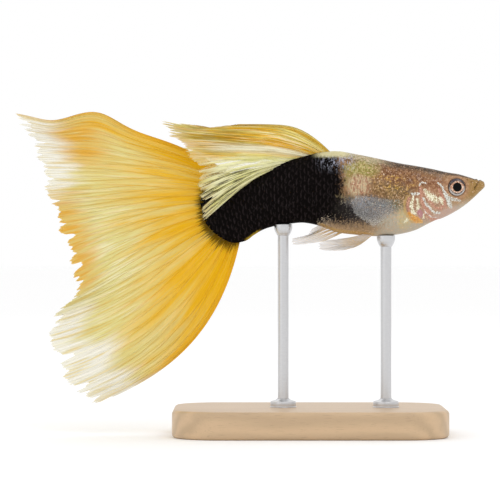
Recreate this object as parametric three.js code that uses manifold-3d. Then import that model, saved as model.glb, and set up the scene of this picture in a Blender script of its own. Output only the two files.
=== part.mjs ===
// A still, life-size model of a male fancy guppy on a small display stand. The fish has a slim
// wedge-shaped head with an upturned mouth, a deep tail stalk that bends down towards its end,
// a flag-like dorsal fin that folds over the stalk's right side, and a wide veil tail.
//
// Units are millimetres. The snout points to +X, the back to +Z and the fish's left side to +Y.
// The origin is on the surface that the stand rests on, midway along and across the model.
import * as THREE from "three";
import { mergeVertices } from "three/addons/utils/BufferGeometryUtils.js";
import Module from "manifold-3d";

const wasm = await Module();
wasm.setup();

// The clearance that touching pieces keep.
const GAP = 0.3;

// The body's ribs, from the lower lip to the end of the tail stalk. Each rib is an upright
// section: its top and bottom points, its half width, the level of its widest line as a share of
// its height, and how square it is above and below that line (2 is an ellipse).
const RIBS = [
  [25.74, 27.54, 25.74, 27.21, 0.4, 0.5, 2.2, 2.2],
  [25.6, 27.81, 25.57, 27.02, 0.95, 0.5, 2.4, 2.2],
  [25.25, 27.92, 25.19, 26.66, 1.25, 0.52, 2.5, 2.1],
  [24.7, 28.06, 24.59, 26.08, 1.48, 0.56, 2.6, 2.0],
  [23.93, 28.31, 23.71, 25.32, 1.75, 0.58, 2.7, 1.9],
  [22.82, 28.62, 22.61, 24.57, 2.05, 0.58, 2.7, 1.9],
  [21.5, 28.84, 21.29, 23.88, 2.3, 0.57, 2.6, 1.9],
  [19.96, 29.19, 19.75, 23.28, 2.52, 0.55, 2.4, 1.9],
  [18.21, 29.52, 18.09, 22.46, 2.68, 0.53, 2.2, 2.0],
  [16.23, 29.85, 16.11, 21.98, 2.76, 0.52, 2.1, 2.0],
  [13.8, 30.38, 13.8, 21.8, 2.7, 0.51, 2.0, 2.0],
  [11.61, 30.82, 11.61, 21.96, 2.58, 0.51, 2.0, 2.0],
  [9.62, 31.15, 9.52, 22.23, 2.4, 0.52, 2.0, 1.9],
  [7.65, 31.0, 7.75, 22.9, 2.18, 0.52, 2.0, 1.9],
  [5.78, 30.56, 5.88, 23.28, 1.98, 0.52, 2.0, 1.9],
  [4.01, 30.13, 4.24, 23.15, 1.78, 0.52, 2.0, 1.9],
  [2.37, 29.74, 2.58, 22.89, 1.6, 0.52, 2.0, 1.9],
  [0.82, 29.41, 1.38, 22.51, 1.42, 0.52, 1.9, 1.9],
  [-0.71, 29.14, 0.39, 21.93, 1.2, 0.52, 1.9, 1.9],
  [-2.37, 28.7, -0.6, 21.27, 0.95, 0.5, 1.9, 1.9],
  [-4.01, 27.98, -2.15, 21.11, 0.72, 0.5, 1.9, 1.9],
  [-5.12, 26.88, -3.79, 21.99, 0.5, 0.5, 1.9, 1.9],
  [-5.61, 25.67, -4.9, 23.09, 0.32, 0.5, 1.9, 1.9],
];
const LAST_RIB = RIBS.length - 1;
// Where the body is parted, in ribs from the snout.
const HEAD_END = 8.94;
const TORSO_START = 9.08;
const TORSO_END = 13.05;
const STALK_START = 13.21;
// Points round each rib, and rings along each length of the body.
const AROUND = 28;
const HEAD_RINGS = 24;
const TORSO_RINGS = 8;
const STALK_RINGS = 14;

// The rear half of the body swings gently to the fish's left, as it does in a swimming stroke.
const SWAY = 1.0;
const SWAY_FROM_X = 12;
const SWAY_LENGTH = 18;

// The head: the eye's place, the front of the mouth and the gill cover's outline.
const EYE = { x: 22.54, z: 27.15, radius: 0.96, dome: 0.3, depth: 0.95, forward: 8 };
const MOUTH_CUT = [
  [25.22, 28.6],
  [25.17, 27.85],
  [24.91, 27.43],
  [24.64, 26.94],
  [24.25, 26.28],
  [23.35, 24.6],
];
const NOSTRIL = { x: 24.2, z: 27.7, radius: 0.2 };
const GILL_COVER = { x: 18.95, z: 25.34, long: 1.93, high: 1.93, proud: 0.12, thick: 0.6 };

// Fins: the membrane's half thickness, the rays' height above it, and the thickness at the tips.
const FIN_HALF = 0.25;
const RAY_HEIGHT = 0.12;
const TIP_HALF = 0.12;
// Each ray has four columns of the grid: the web, a branch, the stem and the other branch.
const RAY_COLUMNS = 4;
// Where along its length a ray's stem forks into its two branches.
const FORK_FROM = 0.35;
const FORK_TO = 0.6;

// The stand: a flat base, and a rod under the belly and one under the tail stalk.
const BASE = { x: 6.5, long: 30, wide: 20, thick: 3, corner: 5, bevel: 0.4 };
const ROD = { radius: 0.6, footRadius: 1.4, footHigh: 0.7, cupRadius: 1.0, cupHigh: 1.1 };
const FRONT_ROD_X = 14.9;
const REAR_ROD_X = 3.6;

// Smooth maths

const mix = (a, b, t) => a + (b - a) * t;
const clamp01 = (t) => Math.min(1, Math.max(0, t));
const degrees = (angle) => (angle * Math.PI) / 180;

function smoothstep(from, to, value) {
  const t = clamp01((value - from) / (to - from));
  return t * t * (3 - 2 * t);
}

// A row of numbers read smoothly (Catmull-Rom) from a table of rows, at a place counted in rows.
function along(table, place) {
  const last = table.length - 1;
  const from = Math.min(last - 1, Math.max(0, Math.floor(place)));
  const t = place - from;
  const before = table[Math.max(0, from - 1)];
  const after = table[Math.min(last, from + 2)];
  return table[from].map((here, k) => {
    const next = table[from + 1][k];
    const a = next - before[k];
    const b = after[k] - here;
    return here + 0.5 * t * (a + t * (-2 * a - b - 6 * here + 6 * next + t * (a + b + 4 * here - 4 * next)));
  });
}

// A number from 0 to 1 that depends only on its two whole-number keys.
function scatter(key, seed) {
  const wave = Math.sin(key * 12.9898 + seed * 78.233) * 43758.5453;
  return wave - Math.floor(wave);
}

// Closed geometry

// A closed surface from points and triangles, turned to face outwards.
function closedGeometry(points, triangles) {
  const cross = new THREE.Vector3();
  const volume = triangles.reduce((sum, [a, b, c]) => {
    cross.crossVectors(points[b], points[c]);
    return sum + points[a].dot(cross);
  }, 0);
  const facing = volume > 0 ? triangles : triangles.map(([a, b, c]) => [a, c, b]);
  const geometry = new THREE.BufferGeometry().setFromPoints(points);
  geometry.setIndex(facing.flat());
  return geometry;
}

// A tube through closed rings of points, with a fan over each end.
function tubeGeometry(rings) {
  const count = rings[0].length;
  const points = rings.flat();
  const triangles = [];
  for (let i = 0; i + 1 < rings.length; i++) {
    for (let k = 0; k < count; k++) {
      const a = i * count + k;
      const b = i * count + ((k + 1) % count);
      triangles.push([a, b, a + count], [b, b + count, a + count]);
    }
  }
  for (const [ring, start] of [[rings[0], 0], [rings.at(-1), (rings.length - 1) * count]]) {
    const hub = points.length;
    points.push(ring.reduce((sum, p) => sum.add(p), new THREE.Vector3()).divideScalar(count));
    for (let k = 0; k < count; k++) {
      const a = start + k;
      const b = start + ((k + 1) % count);
      triangles.push(start === 0 ? [hub, b, a] : [hub, a, b]);
    }
  }
  return closedGeometry(points, triangles);
}

// A thin sheet between two grids of points, split into triangles alike on both faces.
function sheetGeometry(leftFace, rightFace) {
  const rows = leftFace.length;
  const columns = leftFace[0].length;
  const points = [...leftFace.flat(), ...rightFace.flat()];
  const other = rows * columns;
  const at = (i, j) => i * columns + j;
  const triangles = [];
  for (let i = 0; i + 1 < rows; i++) {
    for (let j = 0; j + 1 < columns; j++) {
      const [a, b, c, d] = [at(i, j), at(i, j + 1), at(i + 1, j + 1), at(i + 1, j)];
      triangles.push([a, b, c], [a, c, d]);
      triangles.push([a + other, c + other, b + other], [a + other, d + other, c + other]);
    }
  }
  const rim = [];
  for (let j = 0; j < columns; j++) rim.push(at(0, j));
  for (let i = 1; i < rows; i++) rim.push(at(i, columns - 1));
  for (let j = columns - 2; j >= 0; j--) rim.push(at(rows - 1, j));
  for (let i = rows - 2; i > 0; i--) rim.push(at(i, 0));
  rim.forEach((a, k) => {
    const b = rim[(k + 1) % rim.length];
    triangles.push([b, a, a + other], [b, a + other, b + other]);
  });
  return closedGeometry(points, triangles);
}

// Solids

function toSolid(geometry) {
  const bare = new THREE.BufferGeometry();
  bare.setAttribute("position", geometry.getAttribute("position").clone());
  if (geometry.index) bare.setIndex(geometry.index.clone());
  const merged = mergeVertices(bare, 1e-4);
  return new wasm.Manifold(
    new wasm.Mesh({
      numProp: 3,
      vertProperties: merged.getAttribute("position").array,
      triVerts: new Uint32Array(merged.index.array),
    }),
  );
}

function bySize(solid) {
  return solid.decompose().sort((a, b) => b.volume() - a.volume());
}

function toGeometry(solid) {
  const mesh = bySize(solid)[0].getMesh();
  const geometry = new THREE.BufferGeometry();
  geometry.setAttribute("position", new THREE.BufferAttribute(mesh.vertProperties, mesh.numProp));
  geometry.setIndex(new THREE.BufferAttribute(mesh.triVerts, 1));
  geometry.computeVertexNormals();
  return geometry;
}

// An upright plate: an outline in X and Z, carried across from one Y to another.
function plateSolid(outline, fromY, toY) {
  const shape = new THREE.Shape(outline.map(([x, z]) => new THREE.Vector2(x, z)));
  const geometry = new THREE.ExtrudeGeometry(shape, { depth: toY - fromY, bevelEnabled: false });
  geometry.rotateX(Math.PI / 2);
  geometry.translate(0, toY, 0);
  return toSolid(geometry);
}

function ellipse(centreX, centreZ, long, high, count) {
  return Array.from({ length: count }, (_, k) => {
    const angle = (2 * Math.PI * k) / count;
    return [centreX + long * Math.cos(angle), centreZ + high * Math.sin(angle)];
  });
}

// A strip of even width round an open line.
function strip(line, width) {
  const sides = [1, -1].map((side) =>
    line.map(([x, z], k) => {
      const [beforeX, beforeZ] = line[Math.max(0, k - 1)];
      const [afterX, afterZ] = line[Math.min(line.length - 1, k + 1)];
      const length = Math.hypot(afterX - beforeX, afterZ - beforeZ);
      const offset = (side * width) / 2 / length;
      return [x - (afterZ - beforeZ) * offset, z + (afterX - beforeX) * offset];
    }),
  );
  return [...sides[0], ...sides[1].reverse()];
}

// The body

function sway(x) {
  const t = Math.max(0, (SWAY_FROM_X - x) / SWAY_LENGTH);
  return SWAY * t * t;
}

// The points of one rib, with the skin moved out by grow.
function ribRing(place, grow, shift = 0) {
  const [topX, topZ, lowX, lowZ, halfWidth, level, above, below] = along(RIBS, place);
  const height = Math.hypot(topX - lowX, topZ - lowZ);
  const upX = (topX - lowX) / height;
  const upZ = (topZ - lowZ) / height;
  return Array.from({ length: AROUND }, (_, k) => {
    const angle = (2 * Math.PI * k) / AROUND;
    const across = Math.cos(angle);
    const upward = Math.sin(angle);
    const power = 2 / (upward >= 0 ? above : below);
    const reach = (upward >= 0 ? 1 - level : level) * height + grow;
    const lift = level * height + Math.sign(upward) * Math.abs(upward) ** power * reach;
    const x = lowX + upX * lift + upZ * shift;
    const y = sway(x) + Math.sign(across) * Math.abs(across) ** power * (halfWidth + grow);
    return new THREE.Vector3(x, y, lowZ + upZ * lift - upX * shift);
  });
}

// A length of the body between two places. Where its skin is moved out, so are its ends.
function bodySolid(from, to, ringCount, grow = 0) {
  const rings = Array.from({ length: ringCount + 1 }, (_, i) =>
    ribRing(mix(from, to, i / ringCount), grow),
  );
  if (grow > 0) {
    rings.unshift(ribRing(from, grow, grow));
    rings.push(ribRing(to, grow, -grow));
  }
  return toSolid(tubeGeometry(rings));
}

// The body's half width at a place on its side, from the rib that passes through it.
function flank(x, z) {
  let ahead = 0;
  let behind = LAST_RIB;
  for (let step = 0; step < 30; step++) {
    const place = (ahead + behind) / 2;
    const [topX, topZ, lowX, lowZ] = along(RIBS, place);
    const isBehind = (topX - lowX) * (z - lowZ) - (topZ - lowZ) * (x - lowX) > 0;
    if (isBehind) ahead = place;
    else behind = place;
  }
  const [topX, topZ, lowX, lowZ, halfWidth, level, above, below] = along(RIBS, ahead);
  const height = Math.hypot(topX - lowX, topZ - lowZ);
  const lift = ((x - lowX) * (topX - lowX) + (z - lowZ) * (topZ - lowZ)) / height;
  const share = lift / height - level;
  const square = share > 0 ? above : below;
  const reach = Math.abs(share) / (share > 0 ? 1 - level : level);
  return reach < 1 ? halfWidth * (1 - reach ** square) ** (1 / square) : 0;
}

const bodyClearance = bodySolid(0, LAST_RIB, 70, GAP);

// A domed plug about its own axis, which is turned to stand out of the fish's side.
function eyeSolid(side, grow) {
  const rim = EYE.radius + grow;
  const profile = [
    [0, -EYE.depth - grow],
    [0.8 * rim, -EYE.depth - grow],
    [rim, -0.5 * EYE.depth],
    [rim, 0],
    [0.92 * rim, 0.4 * EYE.dome],
    [0.7 * rim, 0.75 * EYE.dome],
    [0.4 * rim, 0.95 * EYE.dome],
    [0, EYE.dome],
  ];
  const points = profile.map(([radius, out]) => new THREE.Vector2(radius, out));
  const geometry = new THREE.LatheGeometry(points, 24);
  if (side < 0) geometry.rotateX(Math.PI);
  geometry.rotateZ(-side * degrees(EYE.forward));
  geometry.translate(EYE.x, side * (flank(EYE.x, EYE.z) - 0.03), EYE.z);
  return toSolid(geometry);
}

function nostrilSolid(side) {
  const geometry = new THREE.SphereGeometry(NOSTRIL.radius, 10, 8);
  geometry.translate(NOSTRIL.x, side * flank(NOSTRIL.x, NOSTRIL.z), NOSTRIL.z);
  return toSolid(geometry);
}

// The plate of skin and bone over the gills, and the pocket in the head that it lies in.
const GILL_PLACES = [5.6, 9.7];
function gillSolids(side) {
  const { x, z, long, high, proud, thick } = GILL_COVER;
  const span = side > 0 ? [0.6, 4] : [-4, -0.6];
  const plate = plateSolid(ellipse(x, z, long, high, 30), ...span);
  const mould = plateSolid(ellipse(x, z, long + GAP, high + GAP, 30), ...span);
  const outer = bodySolid(...GILL_PLACES, 18, proud);
  const inner = bodySolid(...GILL_PLACES, 18, proud - thick);
  const floor = bodySolid(...GILL_PLACES, 18, proud - thick - GAP);
  return { cover: plate.intersect(outer).subtract(inner), pocket: mould.subtract(floor) };
}

// Fins

// The point of a fin at u along its rays and v from its first ray to its last. Each row of guides
// is one ray's tip X and Z and the directions in which it leaves its root and reaches its tip.
// The ray between them is a cubic curve.
const HANDLE = 0.38;
function finPoint(fin, u, v) {
  const [tipX, tipZ, leave, arrive] = along(fin.guides, v * (fin.guides.length - 1));
  const [rootX, rootZ] = fin.root(v);
  const handle = HANDLE * Math.hypot(tipX - rootX, tipZ - rootZ);
  const curve = (root, tip, out, end) => {
    const w = 1 - u;
    return w ** 3 * root + 3 * w * w * u * (root + handle * out)
      + 3 * w * u * u * (tip - handle * end) + u ** 3 * tip;
  };
  const x = curve(rootX, tipX, Math.cos(degrees(leave)), Math.cos(degrees(arrive)));
  const z = curve(rootZ, tipZ, Math.sin(degrees(leave)), Math.sin(degrees(arrive)));
  const rise = fin.rise ? fin.rise(u, v) : 0;
  return new THREE.Vector3(x, fin.spread(u, v, x, z), z + rise);
}

// How high the surface stands over the membrane, from 0 to 1: one stem, then two branches.
function rayProfile(u, column) {
  const forked = smoothstep(FORK_FROM, FORK_TO, u);
  return [0, mix(0.4, 1, forked), mix(1, 0.3, forked), mix(0.4, 1, forked)][column % RAY_COLUMNS];
}

// A ray's tip reaches past the web between the rays, by an amount that differs from ray to ray.
function tipReach(fin, column, columns) {
  if (column === 0 || column === columns) return 1;
  const onBranch = column % 2 === 1;
  const depth = onBranch ? 0.3 * scatter(column, fin.seed) : 0.6 + 0.4 * scatter(column, fin.seed);
  return 1 - fin.ragged * depth;
}

function finSolid(fin) {
  const columns = fin.rays * RAY_COLUMNS;
  const at = (i, j) => {
    const v = clamp01(j / columns);
    return finPoint(fin, clamp01(i / fin.rows) * tipReach(fin, j, columns), v);
  };
  const left = [];
  const right = [];
  for (let i = 0; i <= fin.rows; i++) {
    left.push([]);
    right.push([]);
    for (let j = 0; j <= columns; j++) {
      const u = i / fin.rows;
      const centre = at(i, j);
      const alongRay = at(Math.min(fin.rows, i + 0.5), j).sub(at(Math.max(0, i - 0.5), j));
      const v = j / columns;
      const ahead = finPoint(fin, u, clamp01(v + 0.5 / columns));
      const acrossRays = ahead.sub(finPoint(fin, u, clamp01(v - 0.5 / columns)));
      const normal = alongRay.cross(acrossRays).normalize();
      if (normal.y < 0) normal.negate();
      const taper = mix(FIN_HALF + RAY_HEIGHT * rayProfile(u, j), TIP_HALF, smoothstep(0.8, 1, u));
      left[i].push(centre.clone().addScaledVector(normal, taper));
      right[i].push(centre.clone().addScaledVector(normal, -taper));
    }
  }
  return toSolid(sheetGeometry(left, right));
}

// The veil tail grows round the stalk's rounded end, over a wide arc.
const TAIL_ARC = { x: -2.15, z: 25.07, long: 2.95, high: 3.5, from: 86, to: 292 };
const caudalFin = {
  rays: 16,
  rows: 14,
  ragged: 0.035,
  seed: 3,
  guides: [
    [-25.6, 35.3, 146, 172],
    [-24.9, 33.3, 156, 176],
    [-23.6, 30.4, 163, 178],
    [-22.3, 26.6, 174, 184],
    [-20.9, 23.1, 183, 191],
    [-19.5, 19.3, 193, 204],
    [-19.3, 15.3, 205, 209],
    [-22.6, 12.2, 217, 193],
    [-22.0, 8.1, 232, 196],
    [-19.2, 4.6, 245, 203],
    [-15.2, 4.1, 258, 209],
  ],
  root: (v) => {
    const angle = degrees(mix(TAIL_ARC.from, TAIL_ARC.to, v));
    return [TAIL_ARC.x + TAIL_ARC.long * Math.cos(angle), TAIL_ARC.z + TAIL_ARC.high * Math.sin(angle)];
  },
  // The upper edge humps and then dips before its tip.
  rise: (u, v) => {
    const nearTop = 1 - smoothstep(0, 0.2, v);
    return nearTop * (0.95 * Math.exp(-(((u - 0.66) / 0.13) ** 2)) - 0.35 * Math.exp(-(((u - 0.87) / 0.08) ** 2)));
  },
  // It curls from side to side in soft folds that deepen towards the edge.
  spread: (u, v) => {
    const sweep = sway(-5) + 0.9 * u - 2.4 * u * u;
    const folds = 0.85 * Math.sin(2 * Math.PI * (2.1 * v + 0.3 * u) + 0.6) + 0.35 * Math.sin(2 * Math.PI * 5.3 * v + 2);
    return sweep + folds * u ** 1.4;
  },
};

// The dorsal fin stands up from the back, and its rear rays fold down over the right side.
const DORSAL_FRONT = [8.86, 30.95];
const DORSAL_REAR = [4.9, 30.0];
const dorsalFin = {
  rays: 8,
  rows: 13,
  ragged: 0.05,
  seed: 11,
  guides: [
    [-6.21, 34.03, 136, 179],
    [-9.07, 34.25, 146, 168],
    [-8.96, 33.32, 156, 170],
    [-8.09, 32.16, 166, 176],
    [-7.09, 30.62, 176, 182],
    [-6.11, 27.98, 186, 200],
    [-5.78, 25.23, 192, 215],
    [-5.22, 23.36, 195, 221],
  ],
  root: (v) => [mix(DORSAL_FRONT[0], DORSAL_REAR[0], v), mix(DORSAL_FRONT[1], DORSAL_REAR[1], v)],
  spread: (u, v, x) => {
    const fold = mix(0.3, 1.75, smoothstep(0, 0.85, v)) * smoothstep(0, 0.45, u);
    const pleats = 0.28 * Math.sin(2 * Math.PI * 3.2 * v + 0.8) * u * (1 - 0.6 * v);
    return sway(Math.max(x, -6)) * (1 - u) - fold + pleats;
  },
};

const analFin = {
  rays: 3,
  rows: 8,
  ragged: 0.06,
  seed: 5,
  guides: [
    [7.21, 21.05, 196, 190],
    [4.79, 20.83, 192, 186],
    [4.57, 21.44, 188, 184],
    [6.33, 21.93, 184, 176],
    [6.43, 22.62, 184, 172],
  ],
  root: (v) => [mix(10.9, 8.9, v), mix(22.45, 23.6, v)],
  spread: (u, v, x) => sway(x) + 0.15 * Math.sin(5 * u + 3 * v) * u,
};

function pelvicFin(side) {
  const guides = {
    right: [
      [8.2, 20.25, 217, 183],
      [7.65, 20.47, 213, 182],
      [9.19, 21.05, 207, 188],
    ],
    left: [
      [10.5, 20.3, 224, 190],
      [10.0, 20.5, 218, 188],
      [10.6, 21.2, 210, 190],
    ],
  };
  return {
    rays: 3,
    rows: 7,
    ragged: 0.05,
    seed: 7 + side,
    guides: side > 0 ? guides.left : guides.right,
    root: (v) => [mix(13.65, 12.75, v), mix(22.15, 22.2, v)],
    spread: (u, v) => side * (0.62 + 0.75 * u - 0.2 * v * u),
  };
}

function pectoralFin(side) {
  return {
    rays: 4,
    rows: 7,
    ragged: 0.06,
    seed: 9 + side,
    guides: [
      [11.17, 26.22, 177, 180],
      [10.84, 25.23, 183, 184],
      [11.61, 23.91, 195, 194],
      [13.37, 22.81, 212, 208],
    ],
    root: (v) => [16.0, mix(25.75, 24.85, v)],
    // It leaves the flank steeply and then lies back along it.
    spread: (u, v, x, z) => side * (flank(x, Math.max(z, 23.6)) + mix(-0.7, 1.2, 1 - (1 - u) ** 4)),
  };
}

// The stand

function baseGeometry() {
  const { long, wide, thick, corner, bevel } = BASE;
  const halfLong = long / 2 - bevel;
  const halfWide = wide / 2 - bevel;
  const shape = new THREE.Shape();
  shape.absarc(halfLong - corner, halfWide - corner, corner, 0, Math.PI / 2);
  shape.absarc(corner - halfLong, halfWide - corner, corner, Math.PI / 2, Math.PI);
  shape.absarc(corner - halfLong, corner - halfWide, corner, Math.PI, 1.5 * Math.PI);
  shape.absarc(halfLong - corner, corner - halfWide, corner, 1.5 * Math.PI, 2 * Math.PI);
  const geometry = new THREE.ExtrudeGeometry(shape, {
    depth: thick - 2 * bevel,
    bevelThickness: bevel,
    bevelSize: bevel,
    bevelSegments: 2,
    curveSegments: 6,
  });
  geometry.translate(BASE.x, 0, bevel);
  return geometry;
}

// A rod with a round foot on the base and a shallow cup that follows the skin over it.
function rodSolid(x) {
  const y = sway(x);
  const footZ = BASE.thick + GAP;
  const [, , , lowZ] = along(RIBS, ribPlaceBelow(x));
  const round = (radius, fromZ, toZ) => {
    const geometry = new THREE.CylinderGeometry(radius, radius, toZ - fromZ, 24);
    geometry.rotateX(Math.PI / 2);
    geometry.translate(x, y, (fromZ + toZ) / 2);
    return toSolid(geometry);
  };
  const rod = round(ROD.radius, footZ, lowZ + 0.3);
  const foot = round(ROD.footRadius, footZ, footZ + ROD.footHigh);
  const cup = round(ROD.cupRadius, lowZ - ROD.cupHigh, lowZ + 0.3);
  return rod.add(foot).add(cup).subtract(bodyClearance);
}

// The place of the rib whose lowest point is over x.
function ribPlaceBelow(x) {
  let place = 0;
  while (along(RIBS, place)[2] > x) place += 0.01;
  return place;
}

// Assembly

const COLOURS = {
  headSkin: 0x9c7a52,
  chestSkin: 0xa89a84,
  blackSkin: 0x1a1614,
  eye: 0x5a4a44,
  yellowFin: 0xecc254,
  clearFin: 0xe4e0d4,
  base: 0xc9a679,
  rod: 0xb9bcc0,
};

const guppy = new THREE.Group();

function addNode(name, geometry, colour, roughness = 0.5, metalness = 0) {
  const material = new THREE.MeshStandardMaterial({ color: colour, roughness, metalness });
  const mesh = new THREE.Mesh(geometry, material);
  mesh.name = name;
  guppy.add(mesh);
}

// The head is one length of the body, hollowed for the eyes and gill covers and cut at the mouth.
let headWhole = bodySolid(0, HEAD_END, HEAD_RINGS);
for (const [side, word] of [[-1, "right"], [1, "left"]]) {
  const { cover, pocket } = gillSolids(side);
  headWhole = headWhole.subtract(pocket).subtract(eyeSolid(side, GAP)).subtract(nostrilSolid(side));
  addNode(`gill_cover_${word}`, toGeometry(cover), COLOURS.headSkin);
  addNode(`eye_${word}`, toGeometry(eyeSolid(side, 0)), COLOURS.eye, 0.15);
}
const mouth = plateSolid(strip(MOUTH_CUT, GAP), -3, 3);
const [head, lowerJaw] = bySize(headWhole.subtract(mouth));
addNode("head", toGeometry(head), COLOURS.headSkin);
addNode("lower_jaw", toGeometry(lowerJaw), COLOURS.headSkin);
addNode("torso", toGeometry(bodySolid(TORSO_START, TORSO_END, TORSO_RINGS)), COLOURS.chestSkin);
addNode("tail_stalk", toGeometry(bodySolid(STALK_START, LAST_RIB, STALK_RINGS)), COLOURS.blackSkin);

const cutFin = (fin) => toGeometry(finSolid(fin).subtract(bodyClearance));
addNode("caudal_fin", cutFin(caudalFin), COLOURS.yellowFin);
addNode("dorsal_fin", cutFin(dorsalFin), COLOURS.yellowFin);
addNode("anal_fin", cutFin(analFin), COLOURS.clearFin);
for (const [side, word] of [[-1, "right"], [1, "left"]]) {
  addNode(`pelvic_fin_${word}`, cutFin(pelvicFin(side)), COLOURS.clearFin);
  addNode(`pectoral_fin_${word}`, cutFin(pectoralFin(side)), COLOURS.clearFin);
}

addNode("stand_base", baseGeometry(), COLOURS.base, 0.6);
addNode("stand_rod_front", toGeometry(rodSolid(FRONT_ROD_X)), COLOURS.rod, 0.3, 1);
addNode("stand_rod_rear", toGeometry(rodSolid(REAR_ROD_X)), COLOURS.rod, 0.3, 1);

export default guppy;
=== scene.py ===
"""A male fancy guppy on a small display stand, with its skin, fins, eyes and finishes.

Surfaces are worked out as functions of two parameters, in millimetres, and turned into metres
when they become meshes. The snout points to +X, the back to +Z and the fish's left to +Y.
"""

import math

import bpy
import numpy as np
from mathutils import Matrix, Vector


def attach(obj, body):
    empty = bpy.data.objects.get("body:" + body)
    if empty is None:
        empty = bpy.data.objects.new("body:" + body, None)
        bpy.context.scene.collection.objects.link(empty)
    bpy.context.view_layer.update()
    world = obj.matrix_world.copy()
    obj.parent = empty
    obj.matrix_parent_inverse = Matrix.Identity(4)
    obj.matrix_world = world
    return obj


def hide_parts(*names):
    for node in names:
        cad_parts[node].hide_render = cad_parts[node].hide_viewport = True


bl_info = {
    "name": "Fancy guppy",
    "version": (1, 0, 0),
    "blender": (4, 5, 0),
    "location": "3D View > Sidebar > Guppy",
    "description": "Builds the skin, fins, eyes and stand of a male fancy guppy",
    "category": "Add Mesh",
}

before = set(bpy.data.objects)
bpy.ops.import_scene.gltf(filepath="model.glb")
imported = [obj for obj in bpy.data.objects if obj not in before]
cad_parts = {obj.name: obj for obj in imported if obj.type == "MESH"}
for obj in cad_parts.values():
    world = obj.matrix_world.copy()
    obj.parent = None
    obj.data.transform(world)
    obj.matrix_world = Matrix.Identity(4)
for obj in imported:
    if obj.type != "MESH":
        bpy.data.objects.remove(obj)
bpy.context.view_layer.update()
MM = 0.001

# The body's ribs, from the lower lip to the end of the tail stalk: top X and Z, lowest X and Z,
# half width, level of the widest line as a share of the height, and squareness above and below.
RIBS = np.array([
    [25.74, 27.54, 25.74, 27.21, 0.4, 0.5, 2.2, 2.2],
    [25.6, 27.81, 25.57, 27.02, 0.95, 0.5, 2.4, 2.2],
    [25.25, 27.92, 25.19, 26.66, 1.25, 0.52, 2.5, 2.1],
    [24.7, 28.06, 24.59, 26.08, 1.48, 0.56, 2.6, 2.0],
    [23.93, 28.31, 23.71, 25.32, 1.75, 0.58, 2.7, 1.9],
    [22.82, 28.62, 22.61, 24.57, 2.05, 0.58, 2.7, 1.9],
    [21.5, 28.84, 21.29, 23.88, 2.3, 0.57, 2.6, 1.9],
    [19.96, 29.19, 19.75, 23.28, 2.52, 0.55, 2.4, 1.9],
    [18.21, 29.52, 18.09, 22.46, 2.68, 0.53, 2.2, 2.0],
    [16.23, 29.85, 16.11, 21.98, 2.76, 0.52, 2.1, 2.0],
    [13.8, 30.38, 13.8, 21.8, 2.7, 0.51, 2.0, 2.0],
    [11.61, 30.82, 11.61, 21.96, 2.58, 0.51, 2.0, 2.0],
    [9.62, 31.15, 9.52, 22.23, 2.4, 0.52, 2.0, 1.9],
    [7.65, 31.0, 7.75, 22.9, 2.18, 0.52, 2.0, 1.9],
    [5.78, 30.56, 5.88, 23.28, 1.98, 0.52, 2.0, 1.9],
    [4.01, 30.13, 4.24, 23.15, 1.78, 0.52, 2.0, 1.9],
    [2.37, 29.74, 2.58, 22.89, 1.6, 0.52, 2.0, 1.9],
    [0.82, 29.41, 1.38, 22.51, 1.42, 0.52, 1.9, 1.9],
    [-0.71, 29.14, 0.39, 21.93, 1.2, 0.52, 1.9, 1.9],
    [-2.37, 28.7, -0.6, 21.27, 0.95, 0.5, 1.9, 1.9],
    [-4.01, 27.98, -2.15, 21.11, 0.72, 0.5, 1.9, 1.9],
    [-5.12, 26.88, -3.79, 21.99, 0.5, 0.5, 1.9, 1.9],
    [-5.61, 25.67, -4.9, 23.09, 0.32, 0.5, 1.9, 1.9],
])
LAST_RIB = len(RIBS) - 1
SWAY, SWAY_FROM_X, SWAY_LENGTH = 1.0, 12.0, 18.0

# The eye: its place, radius, how far its dome bulges and how far its rim is sunk in the side, in
# millimetres, and the degrees that it looks forward.
EYE = {"x": 22.54, "z": 27.15, "radius": 0.96, "dome": 0.3, "sunk": 0.08, "forward": 8.0}
NOSTRILS = [(24.2, 27.72, 0.13), (23.72, 27.98, 0.1)]
MOUTH = [(25.1, 28.2), (25.02, 27.8), (24.76, 27.4), (24.56, 27.1), (24.44, 26.75)]
GILL_COVER = {"x": 18.95, "z": 25.34, "radius": 1.93}
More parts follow.
